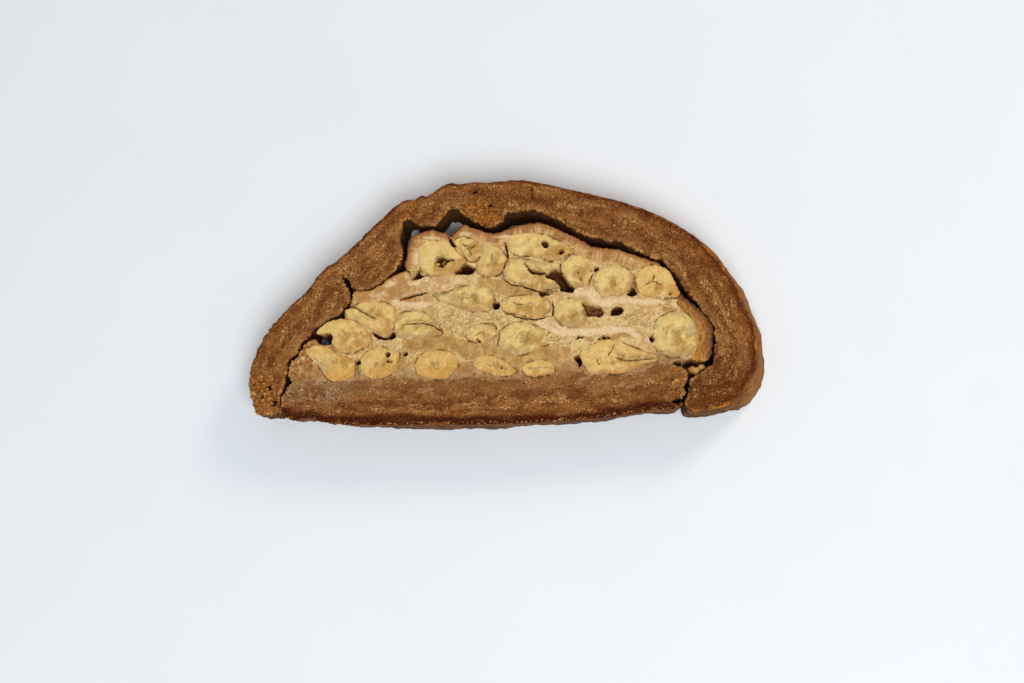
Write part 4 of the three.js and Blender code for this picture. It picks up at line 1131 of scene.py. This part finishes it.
def scrap_marks(points):
    return {**layer_marks(scrap_line)(points), "bare": np.ones(len(points)), "browned": np.ones(len(points))}


def scrap_relief(points, edge):
    return 0.5 * lumps(points, 1.6, 113) + 0.3 * lumps(points, 0.8, 114) - 1.1 - worn_edge(edge, 1.2, 0.9)


scrap = slab("fat_scrap_piece", scrap_loop, scrap_relief, scrap_marks, SCRAP_STEP, wall=0.3, levels=8)
scrap.data.materials.append(MEATS["fat"])
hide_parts("fat_scrap")


# ---- The mash ----
# Fish and fat that have fallen apart in the long baking and set round the whole fish. Its cut face
# is creamy and flaky, dips in beside each fish, and turns brown and doughy where it meets the bed.

MASH_EDGE = [
    (-80.8, -29), (-81.4, -27), (-80, -23), (-77.8, -20), (-76.6, -17.6), (-74.4, -14.8), (-71.6, -14),
    (-69.4, -14.8), (-66, -16.4), (-64, -14), (-64, -9), (-60.4, -6.4), (-60.2, -3.6), (-58.2, -1.4),
    (-57.4, 1.6), (-56, 3), (-50, 2.8), (-44, 5), (-40, 8), (-36.2, 10.6), (-35, 14), (-34.6, 18),
    (-34, 22.5), (-30, 26), (-24, 26), (-20, 25.2), (-16.5, 26.6), (-12, 26.8), (-6, 25.2), (0, 25.4),
    (6, 27.8), (12, 28.3), (18, 27.6), (24, 23.6), (30, 20.8), (36, 18), (44, 17.4), (50, 14.8), (55, 13.6),
    (61, 11.4), (64.5, 6), (67.4, 0.6), (70.5, -2.6), (74, -7), (76.6, -12), (77, -17), (75.5, -21.6),
    (70.5, -23), (67.8, -24.4),
]
TUCK = 0.5  # mm that the mash reaches over the bed
MASH_STEP = 0.42  # mm between the points of its cut face

mash_loop = anticlockwise(even_line(MASH_EDGE + [(x, y - TUCK) for x, y in BED], MASH_STEP))
mash_edge_line = ruler(mash_loop, closed=True)
layer_edge = np.vstack([ruler(loop, closed=True) for loop in layer_loops.values()])
SMEARS = [  # the middle and half widths in mm of grey, wet patches
    (55.6, -9.6, 1.4, 1.2), (-35.4, -27.4, 0.8, 1.4), (-36.6, -17.2, 2.2, 0.6), (-68.6, -29.4, 2.2, 0.7),
]


def under_layers(points):
    """How far the mash drops under the edges of the layers."""
    away = measure(points, layer_edge)[0]
    return np.where(within_any(points, layer_loops.values()), UNDERLAP * ease(away, 0.25, 1.1), 0)


def mash_relief(points, edge):
    """Soft and flaky, with fine cracks, crumbly at the left end, lower beside what lies in it."""
    shifted = points + 0.7 * np.column_stack([lumps(points, 2, 121), lumps(points, 2, 122)])
    flaky = np.array([noise.cell((x, y, 0)) for x, y in (shifted / (3.1, 1.9)).tolist()])
    soft = 0.2 * lumps(points, 3.8, 123) + 0.14 * lumps(points, 1.4, 124)
    rise = soft + 0.18 * (flaky - 0.5) + 0.1 * lumps(points, 0.8, 125)
    crumbly = ease(-points[:, 0] + 3 * lumps(points, 4, 132), 64, 72)
    crag = crumbly * (0.6 * (grains(points, 2.6, 128) - 0.65) + 0.45 * lumps(points, 1.4, 129) - 0.1)
    veins = np.clip(1 - np.abs(lumps(shifted, 2.6, 126)) / 0.06, 0, 1)
    cracks = 0.9 * veins * ease(lumps(points, 5, 127), 0, 0.5)
    from_bed = measure(points, bed_line)[0]
    worn = worn_edge(edge, 0.9, 0.5) * ease(from_bed, 0.6, 2.5)
    crag *= ease(from_bed, 0.2, 2.4)
    covered = np.maximum(under_fish(points), under_layers(points))
    return rise + crag - 0.16 - worn - cracks - carved(points) - covered


def mash_marks(points):
    from_bed = measure(points, bed_line)[0]
    wet = lumps(points * (0.5, 1), 4, 131)
    bare = 1 - ease(measure(points, mash_edge_line)[0], 0.3, 2.4)
    return {
        "soak": 1 - ease(from_bed + 2.2 * wet, 0.5, 8.5),
        "seam": seam(points),
        "near_fish": measure(points, fish_edge)[0],
        "bare": bare * ease(from_bed, 1, 3),
        "brown": ease(-points[:, 0] + 3 * lumps(points, 4, 132), 62, 72),
        "right": ease(points[:, 0], 10, 40),
        "stain": spotted(points, STAINS, 115),
        "white": spotted(points, WHITES, 116),
        "veil": spotted(points, SMEARS, 119),
    }


def mash_finish():
    """Creamy mash with tan and pinkish patches, pale flakes, and brown, doughy smears near the bed."""
    mash = Finish("fish_mash", moist(0.28, (1.0, 0.7, 0.4)))
    at = mash.place()
    broad = mash.grain(at, 7.0, 2.0)
    mottle = mash.grain(at, 2.0, 3.0, seed=3.0)
    flakes = mash.grain(at, 0.9, 3.0, seed=6.0)
    fine = mash.grain(at, 0.45, 3.0, seed=15.0)
    body = 0.45 * broad + 0.55 * mottle + 0.05 * mash.mark("right")
    flaky = 0.6 * flakes + 0.4 * fine
    shift = mash.node("ShaderNodeTexNoise", {}, {"Vector": at, "Scale": 0.8}, 1)
    moved = mash.node("ShaderNodeVectorMath", {"operation": "ADD"}, {0: at, 1: shift})
    lump = mash.node("ShaderNodeTexVoronoi", {}, {"Vector": moved, "Scale": 0.7}, "Color")
    chance = mash.node("ShaderNodeSeparateColor", {}, {0: lump}) + 0.3 * flakes - 0.15
    crumbly = mash.coats(seen(118, 72, 30), [
        (seen(166, 112, 54), mash.step(chance, 0.1, 0.24)),
        (seen(206, 156, 84), mash.step(chance, 0.46, 0.58)),
        (seen(224, 190, 124), mash.step(chance, 0.7, 0.78)),
        (seen(196, 112, 30), mash.step(chance, 0.84, 0.9)),
        (seen(228, 192, 122), 0.5 * mash.step(0.5 * flakes + 0.5 * fine, 0.54, 0.62)),
    ])
    soaked = mash.paint(seen(145, 99, 56), seen(172, 128, 76), mash.step(mottle, 0.42, 0.62))
    # painted shade: the mash darkens next to each fish where the crevice between them opens
    crevice_shade = (1 - mash.step(mash.mark("near_fish") + 0.5 * mottle - 0.25, 0.0, 0.45)) * mash.mark("seam")
    # painted shade: hollows and slits turn dark brown with depth below the cut
    deep = mash.paint(seen(88, 50, 18), seen(158, 98, 36), mash.step(flakes, 0.42, 0.6))
    colour = mash.coats(seen(188, 147, 82), [
        (seen(218, 185, 124), mash.step(body, 0.38, 0.6)),
        (seen(186, 136, 84), 0.5 * mash.step(mash.grain(at, 4.5, 2.0, seed=9.0), 0.52, 0.64)),
        (seen(238, 212, 156), 0.65 * mash.step(flaky, 0.51, 0.6)),
        (seen(170, 128, 68), 0.45 * mash.step(flaky, 0.48, 0.4)),
        (crumbly, 0.9 * mash.mark("brown")),
        (seen(150, 92, 40), 0.8 * mash.mark("bare") * mash.step(1 - flakes, 0.42, 0.6)),
        (soaked, 0.9 * mash.mark("soak")),
        (seen(238, 214, 172), 0.8 * mash.mark("white")),
        (seen(168, 114, 52), 0.7 * mash.mark("stain")),
        (seen(168, 146, 116), 0.6 * mash.mark("veil")),
        (seen(112, 74, 36), 0.8 * crevice_shade),
        (deep, mash.step(mash.mark("sunk"), 1.2, 3.4)),
    ])
    return mash.finish(colour, 0.28 + 0.32 * mottle + 0.1 * fine, flakes + 0.5 * fine, 0.3, 0.9)


layer_rings = [loop + outward(loop) * 0.3 for loop in layer_loops.values()]
mash = slab("mash_body", mash_loop, mash_relief, mash_marks, MASH_STEP, wall=0.4,
            fine=fine_rows + fish_rings + layer_rings)
mash.data.materials.append(mash_finish())
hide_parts(*[name for name in sorted(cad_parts) if name.startswith("mash_")])


# ---- The dome of crust ----
# The same rye dough, folded up over the filling and baked until it stands by itself. It has cracked
# at the shoulder and at both feet, and torn under the crown, where a lump hangs over the filling.

OUTSIDE = [
    (-90.5, -42.7), (-93.5, -42.2), (-95.5, -37), (-96.8, -31), (-96.6, -27.5), (-95, -21), (-93.5, -17),
    (-91.5, -13), (-89, -9.5), (-83, -2.5), (-80, 0.3), (-75, 5), (-70, 12), (-68, 14), (-65, 15.7),
    (-60, 19.9), (-52, 27.8), (-45, 34.5), (-39, 39.5), (-36, 41), (-33, 41), (-31.4, 42.2), (-30, 41.4),
    (-27, 43), (-22, 46), (-19, 46.8), (-17.6, 46.1), (-15, 46.5), (-5, 46.7), (0, 47), (7, 47.3), (15, 46),
    (25, 43.5), (35, 41), (45, 38.4), (55, 34.6), (65, 29.3), (75, 22.2), (80, 17.2), (85, 10), (88, 6),
    (90, 0.5), (92, -5), (94, -9), (95.5, -17), (95.5, -22), (95, -26), (93, -30), (89, -37), (86, -39),
    (83, -41), (80, -41.8), (75, -42.5), (70, -42.2),
]
INSIDE = [
    (68.8, -40.8), (68.7, -38.7), (69.8, -36.2), (70.1, -33), (70.9, -30.6), (72.5, -29.3), (75, -27.7),
    (77, -26.2), (78.7, -25), (79.6, -21), (79.6, -18.5), (80.5, -15.5), (79.9, -13.8), (80.3, -11.5),
    (79.8, -10), (77.2, -6.5), (75, -3.3), (71, 1.5), (69.5, 3.6), (67.5, 7.2), (64, 11.6), (62, 13.4),
    (60.6, 16), (59, 15.4), (57, 16), (53, 18.4), (50, 19.7), (47, 21.4), (44, 22.6), (40, 22.8), (38, 24.1),
    (35, 24.3), (30, 26.2), (22, 31.1), (18, 33.3), (14, 35), (11, 35.6), (5, 35), (1.6, 34.8), (0.8, 33.4),
    (0.2, 31.6), (-2, 30.3), (-5, 29.4), (-7.5, 30.2), (-9, 31.1), (-11, 31.9), (-13, 33.5), (-15, 34.6),
    (-18, 36.8), (-20.5, 36.6), (-22, 35), (-23.5, 33), (-24.6, 31), (-26, 30.1), (-31, 30.2), (-33, 31),
    (-35.5, 32.6), (-38.2, 32.1), (-38.8, 30), (-39.3, 25), (-38.7, 18.5), (-39.7, 15.5), (-41.4, 12.7),
    (-44.1, 10), (-47.6, 7.3), (-50.1, 5.9), (-54.6, 5.2), (-57, 5.5), (-57.7, 6.6), (-58.9, 8.2),
    (-60.5, 10.2), (-62.3, 11.8), (-61.6, 9.6), (-60.1, 6.9), (-59, 3.9), (-58.7, 1.6), (-58.9, 0.2),
    (-60.8, -1.8), (-61.6, -3.8), (-65, -5.3), (-67, -6.6), (-69, -7.9), (-71.2, -9.4), (-73, -11),
    (-75, -14.2), (-77.3, -15.2), (-77.5, -17), (-78.4, -18.8), (-80.4, -20.2), (-81.9, -22.5), (-82.4, -26),
    (-82.8, -30), (-83.4, -33), (-84.7, -35.5), (-85, -38.5), (-85.6, -41.8), (-87.5, -42.7),
]
DOME_STEP = 0.45  # mm between the points of its cut face
HALF_WIDTH = 97  # mm, of the upper cut
FLARE = (1.5, 4.6)  # mm that the outside stands out at the lower cut, at the left end and the right

SHOULDER = [(-35.4, 41.2), (-34.4, 38.6), (-35, 35.8), (-37, 33)]  # where it has cracked and crumbled

outside_line = ruler(OUTSIDE)
inside_line = ruler(INSIDE)
shoulder_line = ruler(SHOULDER)
dome_loop = anticlockwise(even_line(OUTSIDE + INSIDE, DOME_STEP))
inner_side = 1 - ease(measure(dome_loop, inside_line)[0] - measure(dome_loop, outside_line)[0], -3, 3)
inner_side = np.maximum(inner_side, ease(-dome_loop[:, 0], 84, 90))
dome_loop = roughened(dome_loop, 0.05 + 0.3 * inner_side)


def torn(points):
    """Where the dome has crumbled instead of being cut: at its left foot, under its crown, in its crack."""
    x, y = points.T
    foot = ease(-x, 84, 89) * ease(-y, 24, 31)
    crown = ease(10.5 - np.hypot(x + 8, (y - 34.5) * 1.3), 0, 5)
    shoulder = 0.9 * (1 - ease(measure(points, shoulder_line)[0], 0.5, 2.6))
    from_inside = measure(points, inside_line)[0]
    inner = 0.6 * (1 - ease(from_inside, 0.3, 1.6)) * ease(lumps(points, 5, 141), -0.3, 0.5)
    return np.clip(np.maximum.reduce([foot, crown, shoulder, inner]), 0, 1)


def dome_relief(points, edge):
    """The same for the dome, which is craggy and sunk where it has torn."""
    rough = torn(points)
    crag = (0.9 * (grains(points, 3.0, 142) - 0.6) + 0.5 * (grains(points, 1.3, 143) - 0.5)
            + 0.9 * lumps(points, 3.6, 144) + 0.6 * lumps(points, 1.7, 148) + 0.25 * lumps(points, 0.8, 145))
    sunk = 1.0 + 0.8 * (1 - ease(edge, 0.5, 4))
    return crumb_relief(points) + rough * (crag - sunk) - worn_edge(edge, 0.8, 0.5) - carved(points)


def dome_marks(points):
    x, y = points.T
    across, run = measure(points, outside_line)
    inward = measure(points, inside_line)[0]
    width = 1.6 + 2.6 * ease(x, 10, 80) + 1.2 * lumps(points, 3.5, 146)
    toe = 0.5 * (1 - ease(np.hypot(x - 78, y + 36), 6, 22))
    return {
        "across": across,
        "run": run,
        "soak": 0.5 * (1 - ease(inward, 0.5, 3.5)),
        "torn": torn(points),
        "rim": np.maximum(0.8 * (1 - ease(across, 0.2 * width, width)), toe),
        # painted warm lamp light: the rust and the golden line grow towards the right end
        "rust_and_lamp_light": ease(x, 40, 85),
        "gold_and_lamp_light": 0.5 + 0.5 * ease(x, 10, 80),
        "curd": np.zeros(len(points)),
        # painted shade, darker towards the bottom of the dome's outside
        "shaded_underside": 0.9 * (1 - ease(y, -42, -33)),
        "broken": (1 - ease(inward, 0.1, 1.5)) * ease(lumps(points, 4, 147), -0.5, 0.4),
        "baked": across < inward,
    }


across_x = np.clip((dome_loop[:, 0] + HALF_WIDTH) / (2 * HALF_WIDTH), 0, 1)
foot_rise = ease(dome_loop[:, 1], -43, -34)
dome_flare = dome_marks(dome_loop)["baked"] * foot_rise * (FLARE[0] + (FLARE[1] - FLARE[0]) * across_x)
dome = slab("dome_crust", dome_loop, dome_relief, dome_marks, DOME_STEP, wall=0.2 + 0.35 * inner_side,
            fine=fine_rows, flare=dome_flare, levels=14)
dome.data.materials.append(rye_finish("rye_dome"))
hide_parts("crust_dome")


# ---- Crumbs, shreds and jelly ----
# What the knife has left on the cut: crumbs of rye on the torn crust, threads of fish pulled out of
# the flesh, and glassy beads of roe, jelly and backbone in the middles of the fish.

ball = bmesh.new()
bmesh.ops.create_icosphere(ball, subdivisions=2, radius=1)
BALL = np.array([tuple(v.co) for v in ball.verts])
BALL_FACES = np.array([[v.index for v in f.verts] for f in ball.faces])
ball.free()


def beads(name, places, sizes, flat, rough, seed, tints):
    """Many small lumps as one mesh, each turned and dented in its own way, with a tint of its own."""
    rng = np.random.default_rng(seed)
    corners, faces = [], []
    for k, (place, size) in enumerate(zip(places, sizes)):
        turn = np.linalg.qr(rng.normal(size=(3, 3)))[0]
        lump = BALL * (1 + rough * lumps(BALL + 9.1 * k, 1.1, seed))[:, None] * rng.uniform(0.65, 1.1, 3)
        lump = lump @ (turn * np.sign(np.linalg.det(turn))) * (1, 1, flat) * size + place
        lump[:, 2] = np.minimum(lump[:, 2], HIGHEST + 0.04)
        faces.append(BALL_FACES + k * len(BALL))
        corners.append(lump)
    corners = np.vstack(corners)
    corners[:, :2] -= MIDDLE
    return new_piece(name, corners, np.vstack(faces).tolist(), {"tint": np.repeat(tints, len(BALL))})


def on_crust(points, relief, loop):
    """Places on a crust's cut face, with the height of the face there."""
    edge = measure(points, ruler(loop, closed=True))[0]
    return np.column_stack([points, CUT + relief(points, edge)])


rng = np.random.default_rng(31)
TRIES = 26000  # places of which some are kept
scattered = rng.uniform((-HALF_WIDTH, -44), (HALF_WIDTH, 48), (TRIES, 2))
scattered = scattered[within(scattered, dome_loop)]
loose = torn(scattered)
chance = loose * (1 - 0.7 * (scattered[:, 0] > -60))
on_torn = scattered[chance > rng.uniform(0.2, 1.0, len(scattered))][:460]
elsewhere = scattered[loose < 0.1][:260]
along_break = break_lines[rng.integers(0, len(break_lines), 200)] + rng.normal(0, 1.1, (200, 2))
along_break = along_break[within(along_break, base_loop)]
along_under = underside_line[rng.integers(0, len(underside_line), 200)]
along_under = along_under + rng.normal((0, 0.5), 0.35, (200, 2))
along_under = along_under[within(along_under, base_loop)]
in_corner = rng.normal((-79.8, -26.4), (1.5, 2.2), (90, 2))
in_corner = in_corner[within(in_corner, mash_loop)]
CRUMBS = [  # the places, the face under them, its edge, the smallest and largest in mm, and a power
    (on_torn, dome_relief, dome_loop, 0.2, 0.75, 1.3),
    (elsewhere, dome_relief, dome_loop, 0.12, 0.26, 1),
    (along_break, base_relief, base_loop, 0.12, 0.62, 1.4),
    (along_under, base_relief, base_loop, 0.12, 0.34, 1),
    (in_corner, mash_relief, mash_loop, 0.25, 0.8, 1),
]
crumb_places = np.vstack([on_crust(places, relief, loop) for places, relief, loop, *_ in CRUMBS])
crumb_sizes = np.concatenate([rng.uniform(smallest, largest, len(places)) ** power
                              for places, _, _, smallest, largest, power in CRUMBS])
crumb_places[:, :2] += drift(crumb_places)
crumb_tints = rng.uniform(0, 1, len(crumb_sizes))
crumbs = beads("rye_crumbs", crumb_places, crumb_sizes, 0.8, 0.3, 5, crumb_tints)
crust_crumb = Finish("rye_crumb", {"Specular IOR Level": 0.12})
at = crust_crumb.place()
shade = crust_crumb.grain(at, 1.3, 2.0)
grit = crust_crumb.grain(at, 0.3, 3.0, seed=5.0)
tone = crust_crumb.paint(seen(128, 80, 38), seen(204, 146, 78), crust_crumb.mark("tint"))
pale = 0.6 * crust_crumb.step(0.7 * grit + 0.3 * shade, 0.52, 0.62)
tone = crust_crumb.paint(tone, seen(226, 180, 112), pale)
crumbs.data.materials.append(crust_crumb.finish(tone, 0.9 - 0.1 * grit, grit, 0.2))

JELLY = [  # the middle in mm, how deep it lies, the spread, how many beads and their size
    (-24.7, 14.9, 1.2, 0.5, 5, 1.0), (-22.6, 14.7, 3.2, 0.9, 6, 0.5), (57.4, 6.5, 0.3, 1.1, 12, 0.4),
    (-58.3, -12.4, 0.2, 1.5, 10, 0.45), (-24.8, -24.9, 0.2, 1.5, 10, 0.5), (29.4, 9.2, 0.4, 1.1, 8, 0.4),
    (66.4, -15, 0.2, 1.2, 7, 0.45), (69.2, -12.8, 0.3, 0.8, 4, 1.0), (55, -9.6, 0.2, 0.5, 3, 0.8),
    (-27.6, 3, 0.2, 0.7, 3, 0.6), (-14, -0.2, 0.3, 1.2, 7, 0.4), (9.2, 13.2, 0.4, 0.7, 5, 0.45),
    (-12.6, 20.4, 0.4, 0.8, 7, 0.4), (-3, 16.8, 0.3, 1.0, 8, 0.4), (42.4, 7, 0.2, 0.6, 4, 0.35),
    (-7.6, -12.4, 0.3, 0.8, 5, 0.35), (-18.5, -10.4, 0.2, 0.7, 4, 0.55), (8.6, -1.6, 0.2, 1.2, 6, 0.4),
    (61.5, -11.6, 0.1, 0.8, 4, 0.7), (-66.4, -25, 0.1, 1.8, 12, 0.5), (-64.2, -22.4, 0.1, 1.4, 8, 0.45),
    (8, -14, 0.2, 0.7, 5, 0.35),
]
bead_places, bead_sizes, bead_tints = [], [], []
for x, y, below, spread, count, size in JELLY:
    for _ in range(count):
        off = rng.normal(0, spread * 0.6, 2)
        bead_places.append((x + off[0], y + off[1], CUT - below))
        bead_sizes.append(size * rng.uniform(0.6, 1.15))
        bead_tints.append(1.0 * (x < -20) * (y > 12) + rng.uniform(0, 0.5) ** 2)
bead_places = np.array(bead_places)
bead_places[:, :2] += drift(bead_places)
jelly = beads("jelly_beads", bead_places, bead_sizes, 0.75, 0.12, 8, bead_tints)
glassy = Finish("fish_jelly", moist(0.5, (1.0, 0.8, 0.4), weight=0.3, scale=0.001))
at = glassy.place()
clots = glassy.grain(at, 0.9, 2.0)
tone = glassy.coats(seen(196, 170, 104), [
    (seen(224, 196, 120), glassy.step(clots, 0.4, 0.6)),
    (seen(226, 184, 44), 0.9 * glassy.mark("tint")),
    (seen(150, 128, 92), 0.5 * glassy.step(clots, 0.5, 0.38)),
])
jelly.data.materials.append(glassy.finish(tone, 0.16 + 0.2 * clots, clots, 0.1))

SHREDS = [  # the middle, the spread across and up, the lie in degrees, how many
    (-40, -17.6, 4.2, 1.8, 62, 12), (-47.5, -16.4, 3.0, 1.2, 35, 6), (19.5, -14.6, 3.2, 2.4, 48, 13),
    (-56.5, -16, 3.5, 2.4, -38, 8), (-20, -7.5, 5, 3.4, 20, 6), (48, -6.5, 6, 1.6, 8, 8),
    (-6, -6.5, 5, 1.8, -12, 5), (26, 20.3, 3, 1.0, -30, 8), (60, 0.9, 5, 0.8, -8, 8),
    (-26, 7.2, 6, 1.0, 8, 10), (14, -12, 4, 2.5, -30, 8), (-69.5, -22, 3, 2.4, 50, 12),
    (24.5, -16.4, 3, 2.0, 55, 12), (34, 9, 1, 4, 80, 6), (3.4, 1, 4, 1.4, -10, 6),
]
RINGS = 9  # along a thread
SIDES = 6  # round it
along = np.linspace(-1, 1, RINGS)
turns = np.linspace(0, 2 * np.pi, SIDES, endpoint=False)
corners, faces = [], []
for x, y, wide, tall, lie, count in SHREDS:
    for _ in range(count):
        length = rng.uniform(1.6, 4.4)
        turn = math.radians(lie + rng.normal(0, 24))
        bend = rng.normal(0, 0.12) * length
        thick = rng.uniform(0.1, 0.22)
        start = np.array((x + rng.normal(0, wide / 2), y + rng.normal(0, tall / 2)))
        ahead = np.array((math.cos(turn), math.sin(turn)))
        aside = np.array((-math.sin(turn), math.cos(turn)))
        t = along[:, None]
        line = start + t * length / 2 * ahead + (1 - t**2) * bend * aside
        rise = CUT - 0.12 + 0.16 * np.cos(along * 1.4 + rng.normal(0, 0.5))
        width = thick * (1.35 - along**2) * (1 + 0.3 * np.sin(5 * along + rng.uniform(0, 6)))
        first = len(corners)
        for k in range(RINGS):
            ring = line[k] + np.outer(np.cos(turns) * width[k] * 1.5, aside)
            corners += [(*p, rise[k] + 0.8 * width[k] * s) for p, s in zip(ring, np.sin(turns))]
        for near in range(first, first + SIDES * (RINGS - 1), SIDES):
            far = near + SIDES
            for i in range(SIDES):
                j = (i + 1) % SIDES
                faces.append((near + i, near + j, far + j, far + i))
        faces += [tuple(first + i for i in reversed(range(SIDES))), tuple(far + i for i in range(SIDES))]
corners = np.array(corners)
corners[:, :2] += drift(corners) - MIDDLE
shreds = new_piece("fish_shreds", corners, faces, {})
thread = Finish("fish_thread", moist(0.4, (1.0, 0.72, 0.38), scale=0.001))
at = thread.place()
shade = thread.grain(at, 2.0, 2.0)
grit = thread.grain(at, 0.35, 2.0, seed=3.0)
pale = thread.step(0.7 * shade + 0.3 * grit, 0.4, 0.56)
tone = thread.paint(seen(200, 162, 94), seen(230, 204, 144), pale)
shreds.data.materials.append(thread.finish(tone, 0.36 + 0.3 * shade, grit, 0.1))


# ---- Floor, light and camera ----
# A plain pale table top under broad cool window light from the near side and a small warm lamp at the
# far right. The camera looks down on the cut from a little in front of it, as in the photograph.

bpy.ops.mesh.primitive_plane_add(size=6)
floor = bpy.context.object
floor.name = "floor"
table = Finish("pale_table", {"Roughness": 0.6})
tint = table.paint(seen(232, 237, 241), seen(238, 241, 244), table.grain(table.place(), 60.0))
table.tree.links.new(tint.socket, table.shader.inputs["Base Color"])
floor.data.materials.append(table.material)

LIGHTS = {  # place and target in metres, the side of the square in metres, watts, colour
    "window": ((0.32, -0.8, 1.52), (0, 0, 0), 1.0, 21.5, (0.94, 0.97, 1.0)),
    "lamp": ((1.0, 1.1, 0.9), (0, 0, 0), 0.5, 9.5, (1.0, 0.84, 0.66)),
}
for name, (place, target, side, watts, colour) in LIGHTS.items():
    lamp = bpy.data.lights.new(name, "AREA")
    lamp.size = side
    lamp.energy = watts
    lamp.color = colour
    holder = bpy.data.objects.new(name, lamp)
    holder.location = place
    holder.rotation_euler = (Vector(target) - Vector(place)).to_track_quat("-Z", "Y").to_euler()
    bpy.context.scene.collection.objects.link(holder)

world = bpy.data.worlds.new("room")
world.use_nodes = True
sky = world.node_tree.nodes["Background"]
sky.inputs["Color"].default_value = (0.92, 0.95, 1.0, 1)
sky.inputs["Strength"].default_value = 0.36
bpy.context.scene.world = world
bpy.context.scene.view_settings.view_transform = "Standard"

CAMERA_FROM = Vector((0.039244, -0.110472, 0.54766))  # metres
CAMERA_TO = Vector((0.003186, -0.017512, 0.020))
camera_data = bpy.data.cameras.new("camera")
camera_data.lens = 50
camera_data.sensor_width = 36
camera = bpy.data.objects.new("camera", camera_data)
back = (CAMERA_FROM - CAMERA_TO).normalized()
up = (Vector((0, 1, 0)) - back * back.y).normalized()
right = up.cross(back)
camera.matrix_world = Matrix.Translation(CAMERA_FROM) @ Matrix((right, up, back)).transposed().to_4x4()
bpy.context.scene.collection.objects.link(camera)
bpy.context.scene.camera = camera
